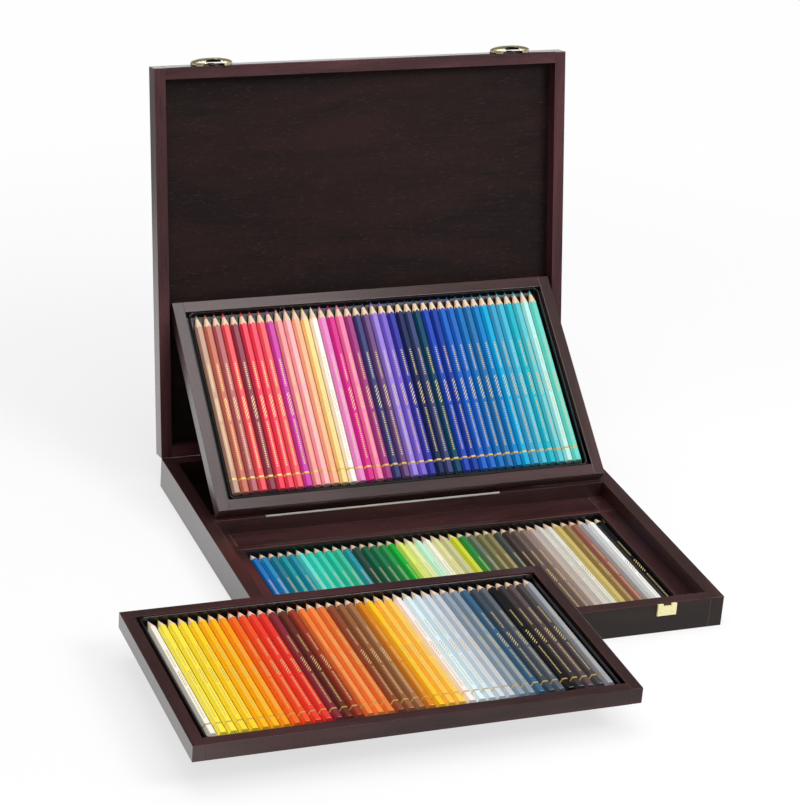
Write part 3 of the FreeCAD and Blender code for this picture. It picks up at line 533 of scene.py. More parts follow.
def makeLacquer():
    # nitrocellulose lacquer in several coats: the row's own paint, even in colour and softly glossy
    material, tree = newMaterial("pencil lacquer")
    foil = makeFoilMask(tree, foilMarks)
    paint = addNode(tree, "ShaderNodeAttribute", attribute_name="paint").outputs["Color"]
    place = addNode(tree, "ShaderNodeTexCoord").outputs["Object"]
    streak = addNode(tree, "ShaderNodeTexNoise", {"Vector": place, "Scale": 1 / (9 * mm), "Detail": 3.0})
    shade = addNode(tree, "ShaderNodeMapRange", {"Value": streak, "To Min": 0.96, "To Max": 1.03})
    tinted = addNode(tree, "ShaderNodeVectorMath", {0: paint, "Scale": shade}, operation="SCALE")
    peel = addNode(tree, "ShaderNodeTexNoise", {"Vector": place, "Scale": 1 / (0.8 * mm), "Detail": 1.0})
    bump = addNode(tree, "ShaderNodeBump", {"Strength": 0.05, "Distance": 0.0001, "Height": peel})
    rough = addNode(tree, "ShaderNodeMapRange", {"Value": streak, "To Min": 0.23, "To Max": 0.29})
    stamped = addNode(tree, "ShaderNodeMix", {
        "Factor": foil, 6: tinted, 7: hexToLinear(foilMarks["gold"])}, data_type="RGBA")
    shine = addNode(tree, "ShaderNodeMath", {0: foil, 1: foilMarks["shine"]}, operation="MULTIPLY")
    surface = addNode(tree, "ShaderNodeBsdfPrincipled", {
        "Base Color": stamped.outputs[2], "Metallic": shine, "Roughness": rough,
        "Normal": bump, "IOR": 1.48})
    addNode(tree, "ShaderNodeOutputMaterial", {"Surface": surface})
    return material


def makeCedar():
    # sharpened cedar: bare pinkish wood, dry, with a fine mottle, coarser than real so that it shows
    material, tree = newMaterial("sharpened cedar")
    place = addNode(tree, "ShaderNodeTexCoord").outputs["Object"]
    grain = addNode(tree, "ShaderNodeTexNoise", {"Vector": place, "Scale": 1 / (0.9 * mm), "Detail": 3.0})
    tone = addNode(tree, "ShaderNodeValToRGB", {"Fac": grain})
    tone.color_ramp.elements[0].position, tone.color_ramp.elements[0].color = 0.3, hexToLinear("E2BC98")
    tone.color_ramp.elements[1].position, tone.color_ramp.elements[1].color = 0.7, hexToLinear("F8DFC4")
    bump = addNode(tree, "ShaderNodeBump", {"Strength": 0.2, "Distance": 0.0001, "Height": grain})
    surface = addNode(tree, "ShaderNodeBsdfPrincipled", {
        "Base Color": tone, "Roughness": 0.75, "Normal": bump, "IOR": 1.5})
    addNode(tree, "ShaderNodeOutputMaterial", {"Surface": surface})
    return material


def makeLead():
    # pigment and wax core: the pencil's colour, slightly waxy
    material, tree = newMaterial("wax pigment lead")
    paint = addNode(tree, "ShaderNodeAttribute", attribute_name="paint").outputs["Color"]
    place = addNode(tree, "ShaderNodeTexCoord").outputs["Object"]
    mottle = addNode(tree, "ShaderNodeTexNoise", {"Vector": place, "Scale": 1 / (0.6 * mm), "Detail": 2.0})
    shade = addNode(tree, "ShaderNodeMapRange", {"Value": mottle, "To Min": 0.84, "To Max": 1.0})
    tinted = addNode(tree, "ShaderNodeVectorMath", {0: paint, "Scale": shade}, operation="SCALE")
    bump = addNode(tree, "ShaderNodeBump", {"Strength": 0.15, "Distance": 0.0001, "Height": mottle})
    surface = addNode(tree, "ShaderNodeBsdfPrincipled", {
        "Base Color": tinted, "Roughness": 0.55, "Normal": bump, "IOR": 1.45})
    addNode(tree, "ShaderNodeOutputMaterial", {"Surface": surface})
    return material


def makeMetal(name, light, dark, roughness, scratch=0.35, length=6.0, metallic=1.0):
    # scratch and length are its fine lines in mm, wider than real ones, which are too fine to show
    material, tree = newMaterial(name)
    place = addNode(tree, "ShaderNodeTexCoord").outputs["Object"]
    cycles = (1 / (length * mm), 1 / (scratch * mm), 1 / (scratch * mm))
    drawn = addNode(tree, "ShaderNodeVectorMath", {0: place, 1: cycles}, operation="MULTIPLY")
    lines = addNode(tree, "ShaderNodeTexNoise", {"Vector": drawn, "Scale": 1.0, "Detail": 2.0})
    cloud = addNode(tree, "ShaderNodeTexNoise", {"Vector": place, "Scale": 1 / (7 * mm), "Detail": 3.0})
    tone = addNode(tree, "ShaderNodeMix", {
        "Factor": cloud, 6: hexToLinear(dark), 7: hexToLinear(light)}, data_type="RGBA")
    rough = addNode(tree, "ShaderNodeMapRange", {
        "Value": lines, "To Min": roughness - 0.06, "To Max": roughness + 0.08})
    bump = addNode(tree, "ShaderNodeBump", {"Strength": 0.06, "Distance": 0.0001, "Height": lines})
    surface = addNode(tree, "ShaderNodeBsdfPrincipled", {
        "Base Color": tone.outputs[2], "Metallic": metallic, "Roughness": rough, "Normal": bump})
    addNode(tree, "ShaderNodeOutputMaterial", {"Surface": surface})
    return material


def makeShadeMatt(name, code):
    # painted shade: a dull, nearly black surface with a short fuzz
    material, tree = newMaterial(name)
    place = addNode(tree, "ShaderNodeTexCoord").outputs["Object"]
    fuzz = addNode(tree, "ShaderNodeTexNoise", {"Vector": place, "Scale": 1 / (0.5 * mm), "Detail": 2.0})
    shade = addNode(tree, "ShaderNodeMapRange", {"Value": fuzz, "To Min": 0.7, "To Max": 1.3})
    tone = addNode(tree, "ShaderNodeVectorMath", {
        0: hexToLinear(code)[:3], "Scale": shade}, operation="SCALE")
    bump = addNode(tree, "ShaderNodeBump", {"Strength": 0.4, "Distance": 0.0002, "Height": fuzz})
    surface = addNode(tree, "ShaderNodeBsdfPrincipled", {
        "Base Color": tone, "Roughness": 0.95, "Normal": bump, "Specular IOR Level": 0.1})
    addNode(tree, "ShaderNodeOutputMaterial", {"Surface": surface})
    return material


lacquerFinish, cedarFinish, leadFinish = makeLacquer(), makeCedar(), makeLead()
# Hot stamped gold foil: thin and even, a warmer and deeper gold than the brass.
foilFinish = makeMetal("hot stamped gold foil", "FFE292", "DDB052", 0.28, metallic=0.5)


def addSocket(tree, name, kind="NodeSocketFloat", way="INPUT"):
    return tree.interface.new_socket(name, in_out=way, socket_type=kind)


def startRings(tree, rings, steps):
    # a grid whose columns become rings along the axis, and the number of each point's ring and step round it
    grid = addNode(tree, "GeometryNodeMeshGrid", {
        "Size X": 1.0, "Size Y": 1.0, "Vertices X": rings, "Vertices Y": steps + 1})
    spot = addNode(tree, "ShaderNodeSeparateXYZ", {0: addNode(tree, "GeometryNodeInputPosition")})
    counted = []
    for axis, span in (("X", rings - 1), ("Y", steps)):
        scaled = addNode(tree, "ShaderNodeMath", {
            0: spot.outputs[axis], 1: float(span), 2: span / 2}, operation="MULTIPLY_ADD")
        counted.append(addNode(tree, "ShaderNodeMath", {0: scaled}, operation="ROUND"))
    return grid, counted[0], counted[1]


def closeRings(tree, grid, ring, angle, radii, lengths):
    picked = []
    for values in (radii, lengths):  # the ring's number picks its radius, and its place along the axis
        pick = addNode(tree, "GeometryNodeIndexSwitch", data_type="FLOAT")
        while len(pick.index_switch_items) < len(values):
            pick.index_switch_items.new()
        fillSockets(tree, pick, {"Index": ring, **dict(enumerate(values, 1))})
        picked.append(pick)
    radius, length = picked
    sine = addNode(tree, "ShaderNodeMath", {0: angle}, operation="SINE")
    cosine = addNode(tree, "ShaderNodeMath", {0: angle}, operation="COSINE")
    x = addNode(tree, "ShaderNodeMath", {0: radius, 1: sine}, operation="MULTIPLY")
    z = addNode(tree, "ShaderNodeMath", {0: radius, 1: cosine}, operation="MULTIPLY")
    spot = addNode(tree, "ShaderNodeCombineXYZ", {"X": x, "Y": length, "Z": z})
    stored = addNode(tree, "GeometryNodeStoreNamedAttribute", {
        "Geometry": grid, "Name": "ring", "Value": ring}, data_type="FLOAT", domain="POINT")
    owned = addNode(tree, "GeometryNodeStoreNamedAttribute", {
        "Geometry": stored, "Name": "own", "Value": spot}, data_type="FLOAT_VECTOR", domain="POINT")
    formed = addNode(tree, "GeometryNodeSetPosition", {"Geometry": owned, "Position": spot})
    return addNode(tree, "GeometryNodeMergeByDistance", {"Geometry": formed, "Distance": 1e-6})


def finishByRing(tree, geometry, finishes):
    ring = addNode(tree, "GeometryNodeInputNamedAttribute", {"Name": "ring"}, data_type="FLOAT")
    for first, last, finish in finishes:
        above = addNode(tree, "FunctionNodeCompare", {
            0: ring, 1: first}, data_type="FLOAT", operation="GREATER_THAN")
        below = addNode(tree, "FunctionNodeCompare", {
            0: ring, 1: last}, data_type="FLOAT", operation="LESS_THAN")
        between = addNode(tree, "FunctionNodeBooleanMath", {0: above, 1: below}, operation="AND")
        geometry = addNode(tree, "GeometryNodeSetMaterial", {
            "Geometry": geometry, "Selection": between, "Material": finish})
    return geometry


pencilFacets = {  # counts, then degrees, then mm that the tip is blunted by
    "rings": 9, "stepsOnFlat": 4, "flatTurn": 60.0, "halfFlat": 30.0, "tipCut": 0.08,
}


def makePencilTree():
    tree = bpy.data.node_groups.new("pencil row", "GeometryNodeTree")
    addSocket(tree, "Geometry", "NodeSocketGeometry")
    sizes = {name: addSocket(tree, name) for name in pencilSizes}
    addSocket(tree, "Seed", "NodeSocketInt")
    addSocket(tree, "Geometry", "NodeSocketGeometry", "OUTPUT")
    given = addNode(tree, "NodeGroupInput").outputs
    tip, long, chamfer = given["Tip Radius"], given["Pencil Length"], given["End Chamfer"]

    # every step round a ring lies on one of the six flats, near its corners or in its middle
    perFlat = float(pencilFacets["stepsOnFlat"])
    grid, ring, step = startRings(tree, pencilFacets["rings"], 6 * pencilFacets["stepsOnFlat"])
    flat = addNode(tree, "ShaderNodeMath", {0: step, 1: perFlat}, operation="DIVIDE")
    flat = addNode(tree, "ShaderNodeMath", {0: flat}, operation="FLOOR")
    before = addNode(tree, "ShaderNodeMath", {0: flat, 1: perFlat}, operation="MULTIPLY")
    within = addNode(tree, "ShaderNodeMath", {0: step, 1: before}, operation="SUBTRACT")
    reach = addNode(tree, "ShaderNodeMath", {
        0: pencilFacets["halfFlat"], 1: given["Corner Softness"]}, operation="SUBTRACT")
    middleStep = (perFlat - 1) / 2
    offMiddle = addNode(tree, "ShaderNodeMath", {0: within, 1: middleStep}, operation="SUBTRACT")
    perStep = addNode(tree, "ShaderNodeMath", {0: reach, 1: middleStep}, operation="DIVIDE")
    aside = addNode(tree, "ShaderNodeMath", {0: offMiddle, 1: perStep}, operation="MULTIPLY")
    turn = addNode(tree, "ShaderNodeMath", {0: flat, 1: pencilFacets["flatTurn"]}, operation="MULTIPLY")
    turn = addNode(tree, "ShaderNodeMath", {0: turn, 1: aside}, operation="ADD")
    angle = addNode(tree, "ShaderNodeMath", {0: turn}, operation="RADIANS")

    # the cone cuts the flats in scallops
    apothem = addNode(tree, "ShaderNodeMath", {0: given["Across Flats"], 1: 2.0}, operation="DIVIDE")
    asideTurn = addNode(tree, "ShaderNodeMath", {0: aside}, operation="RADIANS")
    asideCosine = addNode(tree, "ShaderNodeMath", {0: asideTurn}, operation="COSINE")
    side = addNode(tree, "ShaderNodeMath", {0: apothem, 1: asideCosine}, operation="DIVIDE")
    corner = addNode(tree, "ShaderNodeMath", {0: given["Across Flats"], 1: math.sqrt(3)}, operation="DIVIDE")
    spread = addNode(tree, "ShaderNodeMath", {0: corner, 1: tip}, operation="SUBTRACT")
    slope = addNode(tree, "ShaderNodeMath", {0: spread, 1: given["Cone Length"]}, operation="DIVIDE")
    leadSpread = addNode(tree, "ShaderNodeMath", {0: given["Lead Radius"], 1: tip}, operation="SUBTRACT")
    leadLength = addNode(tree, "ShaderNodeMath", {0: leadSpread, 1: slope}, operation="DIVIDE")
    leadEdge = addNode(tree, "ShaderNodeMath", {0: long, 1: leadLength}, operation="SUBTRACT")
    sideSpread = addNode(tree, "ShaderNodeMath", {0: side, 1: tip}, operation="SUBTRACT")
    bareLength = addNode(tree, "ShaderNodeMath", {0: sideSpread, 1: slope}, operation="DIVIDE")
    scallop = addNode(tree, "ShaderNodeMath", {0: long, 1: bareLength}, operation="SUBTRACT")
    blunt = addNode(tree, "ShaderNodeMath", {0: long, 1: pencilFacets["tipCut"] * mm}, operation="SUBTRACT")
    ringLow = given["Ring From End"]
    ringTop = addNode(tree, "ShaderNodeMath", {0: ringLow, 1: given["Ring Width"]}, operation="ADD")
    endSide = addNode(tree, "ShaderNodeMath", {0: side, 1: chamfer}, operation="SUBTRACT")
    pencil = closeRings(
        tree, grid, ring, angle,
        [0.0, tip, given["Lead Radius"], side, side, side, side, endSide, 0.0],
        [long, blunt, leadEdge, scallop, ringTop, ringLow, chamfer, 0.0, 0.0])
    ringRead = addNode(tree, "GeometryNodeInputNamedAttribute", {"Name": "ring"}, data_type="FLOAT")
    onCone = addNode(tree, "FunctionNodeCompare", {
        0: ringRead, 1: 3.0}, data_type="FLOAT", operation="LESS_THAN")
    pencil = addNode(tree, "GeometryNodeSetShadeSmooth", {"Geometry": pencil, "Shade Smooth": onCone})

    # one pencil for each point of the mesh, side by side and a little out of line
    index = addNode(tree, "GeometryNodeInputIndex")
    count = addNode(tree, "GeometryNodeAttributeDomainSize", {0: given["Geometry"]}, component="MESH")
    last = addNode(tree, "ShaderNodeMath", {0: count.outputs["Point Count"], 1: 1.0}, operation="SUBTRACT")
    middle = addNode(tree, "ShaderNodeMath", {0: last, 1: 2.0}, operation="DIVIDE")
    least = addNode(tree, "ShaderNodeMath", {0: given["Unevenness"], 1: -1.0}, operation="MULTIPLY")
    uneven = addNode(tree, "FunctionNodeRandomValue", {
        "Min": least, "Max": given["Unevenness"], "ID": index, "Seed": given["Seed"]}, data_type="FLOAT")
    drawn = [socket for socket in uneven.outputs if socket.enabled][0]
    along = addNode(tree, "ShaderNodeMath", {0: index, 1: middle}, operation="SUBTRACT")
    along = addNode(tree, "ShaderNodeMath", {0: along, 1: given["Pitch"]}, operation="MULTIPLY")
    spot = addNode(tree, "ShaderNodeCombineXYZ", {"X": along, "Y": drawn})
    row = addNode(tree, "GeometryNodeSetPosition", {"Geometry": given["Geometry"], "Position": spot})
    placed = addNode(tree, "GeometryNodeInstanceOnPoints", {"Points": row, "Instance": pencil})
    solid = addNode(tree, "GeometryNodeRealizeInstances", {"Geometry": placed})
    dressed = finishByRing(tree, solid, [
        (0.0, 2.0, leadFinish), (2.0, 3.0, cedarFinish), (3.0, 4.0, lacquerFinish),
        (4.0, 5.0, foilFinish), (5.0, 8.0, lacquerFinish)])
    addNode(tree, "NodeGroupOutput", {"Geometry": dressed})
    return tree, sizes


pencilTree, pencilSockets = makePencilTree()


def makePencils(body):
    colours = pencilPaint[body].split()
    mesh = bpy.data.meshes.new(body + "_pencils")
    mesh.from_pydata([(0, 0, 0)] * len(colours), [], [])
    paint = mesh.attributes.new("paint", "FLOAT_COLOR", "POINT")
    for i, code in enumerate(colours):
        paint.data[i].color = hexToLinear(code)
    piece = linkObject(body + "_pencil_row", mesh)
    row = piece.modifiers.new("row", "NODES")
    row.node_group = pencilTree
    for name, socket in pencilSockets.items():
        row[socket.identifier] = pencilSizes[name] * (1.0 if name == "Corner Softness" else mm)
    row[pencilTree.interface.items_tree["Seed"].identifier] = 3 + len(body)
    bakeModifiers(piece)
    piece.data.transform(places[body] @ Matrix.Translation(Vector(pencilStart[body]) * mm))
    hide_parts(body + "_pencils")
    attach(piece, body)
    return piece


for body in ("base", "upper_tray", "front_tray"):
    row = makePencils(body)
    print(row.name, len(row.data.polygons), "faces,", len(row.data.materials), "finishes")


# Metalwork

# Brass sheet, polished and clear lacquered: pale gold with broad soft highlights.
brassFinish = makeMetal("polished brass, clear lacquered", "FFF8DA", "EADFB0", 0.4)
# The strikes' brass under a matt lacquer: pale yellow and flat, with hardly a reflection.
strikeFinish = makeMetal("stamped brass, matt lacquered", "FFFACC", "FFF0AC", 0.5, metallic=0.25)
# The same brass where the lever covers it, painted brown and dim as the lever's shade.
leverShadeBrassFinish = makeMetal("brass, painted shade under the lever", "8A7C58", "4E452E", 0.5)
# Nickel plated pins and screws: neutral and fairly bright.
steelFinish = makeMetal("nickel plated steel", "C9C6BE", "9C9A94", 0.28)
# Spring steel of the clasp pins and tongues, painted dark grey as the shade inside the lever.
leverShadeSteelFinish = makeMetal("steel, painted shade inside the lever", "7C7972", "4E4C47", 0.4)
# Drawn aluminium: pale, with long fine lines.
stripFinish = makeMetal("drawn aluminium strip", "FAF8F4", "E6E3DD", 0.55, 0.3, 60.0, metallic=0.45)
# Painted shade on the stop strip's top behind its front lip: nearly black.
stripShadeFinish = makeShadeMatt("painted shade on the stop strip", "120E0C")

metalwork = {
    "left_strike": ("base", strikeFinish, "brass"), "right_strike": ("base", strikeFinish, "brass"),
    "left_hinge_base_leaf": ("base", brassFinish, "brass"),
    "right_hinge_base_leaf": ("base", brassFinish, "brass"),
    "hinge_pins": ("base", steelFinish, "steel"),
    "partition_strip": ("base", stripFinish, "strip_metal"),
    "left_hinge_lid_leaf": ("lid", brassFinish, "brass"),
    "right_hinge_lid_leaf": ("lid", brassFinish, "brass"),
    "left_clasp_plate": ("lid", leverShadeBrassFinish, "brass"), "right_clasp_plate": ("lid", leverShadeBrassFinish, "brass"),
    "left_clasp_pin": ("lid", leverShadeSteelFinish, "steel"),
    "right_clasp_pin": ("lid", leverShadeSteelFinish, "steel"),
    "left_clasp_tongue": ("lid", leverShadeSteelFinish, "steel"),
    "right_clasp_tongue": ("lid", leverShadeSteelFinish, "steel"),
}
metalSizes = {
    "rounding": 0.22, "strikeRounding": 0.8,  # mm
    "pinShare": 0.86,  # how much of a clasp pin's length shows
    "sharp": 0.6,  # radians between two faces, from where on their edge is rounded
}
stripSizes = {"lip": 0.4}  # mm of bare metal in front of the painted shade on the stop strip's top
notchSizes = {  # mm, the opening that shows around the tongue's notch in a strike
    "half": 3.1, "floor": 26.0, "near": 0.3,  # what counts as its sides, and where its floor lies
    "wider": 0.75, "deeper": 1.0,  # each side, and down
}


def dressMetal(node, body, finish):
    place = places[body]
    isStrike, isStrip = "_strike" in node, node == "partition_strip"
    mesh = bpy.data.meshes.new(node)
    work = openNode(node, place)
    centre = sum((v.co.x for v in work.verts), 0.0) / len(work.verts)
    share = metalSizes["pinShare"] if "clasp_pin" in node else 1.0
    for vertex in work.verts:
        vertex.co.x = centre + (vertex.co.x - centre) * share
        if isStrike and abs(vertex.co.x - centre) < notchSizes["half"] * mm:
            vertex.co.x += math.copysign(notchSizes["wider"], vertex.co.x - centre) * mm
            if abs(vertex.co.z - notchSizes["floor"] * mm) < notchSizes["near"] * mm:
                vertex.co.z -= notchSizes["deeper"] * mm
    if isStrip:
        lip = min(v.co.y for v in work.verts) + stripSizes["lip"] * mm
        everything = work.verts[:] + work.edges[:] + work.faces[:]
        bmesh.ops.bisect_plane(work, geom=everything, plane_co=(0, lip, 0), plane_no=(0, 1, 0))
    weight = work.edges.layers.float.new("bevel_weight_edge")
    for edge in work.edges:
        sharp = len(edge.link_faces) == 2 and edge.calc_face_angle(0) > metalSizes["sharp"]
        edge.smooth = not sharp
        edge[weight] = 1.0 if sharp and edge.is_convex else 0.0
    for face in work.faces:
        face.smooth = True
    work.to_mesh(mesh)
    work.free()
    piece = linkObject(node + "_metal", mesh)
    bevel = piece.modifiers.new("rounding", "BEVEL")
    bevel.width = metalSizes["strikeRounding" if isStrike else "rounding"] * mm
    bevel.segments, bevel.limit_method, bevel.harden_normals = 2, "WEIGHT", True
    bakeModifiers(piece)
    piece.data.transform(place)
    piece.data.materials.clear()
    piece.data.materials.append(finish)
    # the strip's top behind the lip gets the painted shade
    if isStrip:
        piece.data.materials.append(stripShadeFinish)
        for face in piece.data.polygons:
            face.material_index = int(face.normal.z > 0.9 and face.center.y > lip)
    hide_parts(node)
    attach(piece, body)


for node, (body, finish, slotName) in metalwork.items():
    dressMetal(node, body, finish)
print("metalwork dressed:", len(metalwork), "pieces")

leverSizes = {  # mm, in the closed lid's frame
    "centre": 139.0, "middle": 32.6, "halfWidth": 18.5, "halfHeight": 8.4, "squareness": 2.5,
    # how far back the shell's edge reaches, and where its heel, its lobes and the strike begin or end
    "back": -172.8, "lobeBack": -171.75, "strikeClear": -173.7, "heel": -173.5,
    "heelFrom": 38.2, "lobesTo": 27.1, "strikeHalf": 9.3,
    "skirt": 1.4, "crown": 5.2, "domeSpread": 2.2, "domeRise": 0.55, "sheet": 0.8,
    "archHalf": 6.8, "archHeight": 6.0, "archSquareness": 2.0,
    "columns": 56, "rows": 16, "endShare": 0.9995,  # the outermost columns stop just short of the ends
}


def makeLever(node, body, side, values):
    count, rows, power = values["columns"], values["rows"], values["squareness"]
    work = bmesh.new()
    lines = []
    for i in range(count + 1):
        across = -math.cos(math.pi * i / count) * values["endShare"]  # columns gather towards both ends
        x = across * values["halfWidth"]
        reach = values["halfHeight"] * (1 - abs(across) ** power) ** (1 / power)
        low, high = values["middle"] - reach, values["middle"] + reach
        inArch = abs(x) / values["archHalf"]
        if inArch < 1:
            curve = values["archSquareness"]
            arch = values["middle"] - values["halfHeight"] + values["archHeight"] * (
                1 - inArch ** curve) ** (1 / curve)
            low = max(low, arch)
        line = []
        for k in range(rows + 1):
            z = low + (high - low) * (1 - math.cos(math.pi * k / rows)) / 2
            up = (z - values["middle"]) / values["halfHeight"]
            away = min(1.0, (abs(across) ** power + abs(up) ** power) ** (1 / power))
            dome = (1 - away ** values["domeSpread"]) ** values["domeRise"]
            rise = values["skirt"] + (values["crown"] - values["skirt"]) * dome
            spot = ((side * values["centre"] + x) * mm, (values["back"] - rise) * mm, z * mm)
            line.append(work.verts.new(spot))
        lines.append((line, inArch < 1))
    for (left, _), (right, _) in zip(lines, lines[1:]):
        for k in range(rows):
            work.faces.new((left[k], left[k + 1], right[k + 1], right[k]))
    border = [line[-1] for line, _ in lines] + lines[-1][0][-2::-1] + [line[0] for line, _ in lines[-2::-1]]
    border += lines[0][0][1:-1]
    cut = {line[0] for line, inArch in lines if inArch}
    feet = {}
    # the lobes reach down in front of the rim and clear the strike, and the heel clears the rail as it swings
    for v in border:
        if v in cut:
            continue
        if v.co.z > values["heelFrom"] * mm:
            foot = values["heel"]
        elif v.co.z > values["lobesTo"] * mm:
            foot = values["back"]
        elif abs(abs(v.co.x) - values["centre"] * mm) < values["strikeHalf"] * mm:
            foot = values["strikeClear"]
        else:
            foot = values["lobeBack"]
        feet[v] = work.verts.new((v.co.x, foot * mm, v.co.z))
    for a, b in zip(border, border[1:] + border[:1]):
        if a in feet and b in feet:
            work.faces.new((a, b, feet[b], feet[a]))
    bmesh.ops.recalc_face_normals(work, faces=work.faces)
    crown = min(work.verts, key=lambda v: v.co.y)
    if crown.normal.y > 0:
        bmesh.ops.reverse_faces(work, faces=work.faces)
    mesh = bpy.data.meshes.new(node + "_shell")
    work.to_mesh(mesh)
    work.free()
    piece = linkObject(node + "_shell", mesh)
    sheet = piece.modifiers.new("sheet", "SOLIDIFY")
    sheet.thickness, sheet.offset = values["sheet"] * mm, -1.0
    bakeModifiers(piece)
    soften(piece.data, 50)
    piece.data.transform(places[body])
    piece.data.materials.append(brassFinish)
    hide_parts(node)
    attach(piece, body)


makeLever("left_clasp_lever", "left_clasp", -1, leverSizes)
makeLever("right_clasp_lever", "right_clasp", 1, leverSizes)
print("clasp levers pressed: 2")

fastenerSizes = {  # mm
    "slotted screw": {
        "Head Radius": 1.9, "Head Rise": 0.0, "Head Cone": 0.9, "Shank Radius": 1.0, "Length": 8.0,
        "Point": 1.2, "Slot Width": 0.45, "Slot Depth": 0.5},
    "domed nail": {
        "Head Radius": 1.7, "Head Rise": 0.3, "Head Cone": 0.02, "Shank Radius": 0.9, "Length": 7.0,
        "Point": 1.6},
}
# Body, kind, finish, slot, degrees that turn a head from +y, then mm: middle of a group, steps in it, y, z.
fasteners = {
    "hinge_base_screws": (
        "base", "slotted screw", steelFinish, "steel", 90, 120.0, (-12.0, 0.0, 12.0), 166.3, 27.0),
    "hinge_lid_screws": (
        "lid", "slotted screw", steelFinish, "steel", -90, 120.0, (-12.0, 0.0, 12.0), 166.3, 27.3),
    "strike_nails": ("base", "domed nail", strikeFinish, "brass", 180, 139.0, (-5.3, 5.3), -173.5, 20.85),
    "clasp_nails": ("lid", "domed nail", brassFinish, "brass", 180, 139.0, (-8.4, 8.4), -172.5, 33.75),
}
fastenerShape = {
    "head": ((0.0, 1.0), (0.5, 0.86), (0.87, 0.48), (1.0, 0.0)),  # shares of the head's radius and rise
    "point": 0.12,  # mm
    "slotSpan": 2.4,  # length of the slot's cutter in head radii, so that it passes both edges
    "turn": 1.2,  # radians that a fastener may be turned either way
}


def makeFastenerTree(kind, finish, steps=20):
    tree = bpy.data.node_groups.new(kind + " row", "GeometryNodeTree")
    addSocket(tree, "Geometry", "NodeSocketGeometry")
    sockets = {name: addSocket(tree, name) for name in fastenerSizes[kind]}
    addSocket(tree, "Seed", "NodeSocketInt")
    addSocket(tree, "Geometry", "NodeSocketGeometry", "OUTPUT")
    given = addNode(tree, "NodeGroupInput").outputs
    head, shank = given["Head Radius"], given["Shank Radius"]

    grid, ring, step = startRings(tree, len(fastenerShape["head"]) + 4, steps)
    angle = addNode(tree, "ShaderNodeMath", {0: step, 1: 2 * math.pi / steps}, operation="MULTIPLY")
    radii, heights = [], []
    for radiusShare, riseShare in fastenerShape["head"]:
        radii.append(addNode(tree, "ShaderNodeMath", {0: head, 1: radiusShare}, operation="MULTIPLY"))
        heights.append(addNode(tree, "ShaderNodeMath", {
            0: given["Head Rise"], 1: riseShare}, operation="MULTIPLY"))
    neck = addNode(tree, "ShaderNodeMath", {0: given["Head Cone"], 1: -1.0}, operation="MULTIPLY")
    end = addNode(tree, "ShaderNodeMath", {0: given["Length"], 1: -1.0}, operation="MULTIPLY")
    shoulder = addNode(tree, "ShaderNodeMath", {0: end, 1: given["Point"]}, operation="ADD")
    radii += [shank, shank, fastenerShape["point"] * mm, 0.0]
    heights += [neck, shoulder, end, end]
    solid = closeRings(tree, grid, ring, angle, radii, heights)
    if "Slot Width" in sockets:
        span = addNode(tree, "ShaderNodeMath", {0: head, 1: fastenerShape["slotSpan"]}, operation="MULTIPLY")
        deep = addNode(tree, "ShaderNodeMath", {0: given["Slot Depth"], 1: 2.0}, operation="MULTIPLY")
        size = addNode(tree, "ShaderNodeCombineXYZ", {"X": span, "Y": deep, "Z": given["Slot Width"]})
        slot = addNode(tree, "GeometryNodeMeshCube", {"Size": size})
        solid = addNode(tree, "GeometryNodeMeshBoolean", {0: solid, 1: slot}, operation="DIFFERENCE")
    index, most = addNode(tree, "GeometryNodeInputIndex"), fastenerShape["turn"]
    turn = addNode(tree, "FunctionNodeRandomValue", {
        "Min": -most, "Max": most, "ID": index, "Seed": given["Seed"]}, data_type="FLOAT")
    drawn = [socket for socket in turn.outputs if socket.enabled][0]
    spin = addNode(tree, "ShaderNodeCombineXYZ", {"Y": drawn})
    placed = addNode(tree, "GeometryNodeInstanceOnPoints", {
        "Points": given["Geometry"], "Instance": solid, "Rotation": spin})
    real = addNode(tree, "GeometryNodeRealizeInstances", {"Geometry": placed})
    dressed = addNode(tree, "GeometryNodeSetMaterial", {"Geometry": real, "Material": finish})
    addNode(tree, "NodeGroupOutput", {"Geometry": dressed})
    return tree, sockets


def makeFasteners(node, body, kind, finish, slotName, facing, middle, steps, y, z):
    tree, sockets = makeFastenerTree(kind, finish)
    turn = Matrix.Rotation(math.radians(facing), 4, "X")
    spots = [Vector((side * middle + step, y, z)) * mm for side in (-1, 1) for step in steps]
    mesh = bpy.data.meshes.new(node)
    mesh.from_pydata([turn.inverted() @ spot for spot in spots], [], [])
    piece = linkObject(node + "_row", mesh)
    row = piece.modifiers.new("row", "NODES")
    row.node_group = tree
    for name, socket in sockets.items():
        row[socket.identifier] = fastenerSizes[kind][name] * mm
    row[tree.interface.items_tree["Seed"].identifier] = 5
    bakeModifiers(piece)
    soften(piece.data, 40)
    piece.data.transform(places[body] @ turn)
    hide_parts(node)
    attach(piece, body)
    return len(spots)


for node, settings in fasteners.items():
    print(node, "set:", makeFasteners(node, *settings))


# Floor, backdrop and light

studio = {
    "floor": "F4F4F4", "floorSize": 12.0, "floorDrop": 0.0002,  # metres
    "floorGlow": (0.45, 1.2, 0.69, 0.97),  # from and to in metres, and the share that takes no shadow there
    "fill": 0.52,  # the world's strength on the object
    # What gloss mirrors: an axis, from and to in metres, and the levels there. The paper is bright behind
    # and to the left, dimmer in front, and fades out far in front and far behind on the left.
    "paper": {
        "front": ("Y", -0.35, 0.1, 0.1, 1.0), "left": ("X", -0.35, -0.2, 1.0, 0.1),
        "end": ("Y", -2.1, -1.1, 0.2, 1.0),
        "behind": ("Y", 0.4, 0.95, 1.0, 0.2), "right": ("X", -0.24, -0.18, 0.0, 1.0),
    },
    "room": {"height": ("Z", 0.0, 0.25, 1.0, 0.08), "behind": ("Y", -0.6, 0.2, 0.2, 1.0)},
    "lamps": {  # place, aim, size in metres, watts
        "top softbox": ((-0.16, -0.15, 2.0), (0, 0.05, 0), 1.3, 14.5),
        "key softbox": ((0.95, -1.35, 1.7), (0, 0, 0.05), 0.9, 25.0),
    },
}


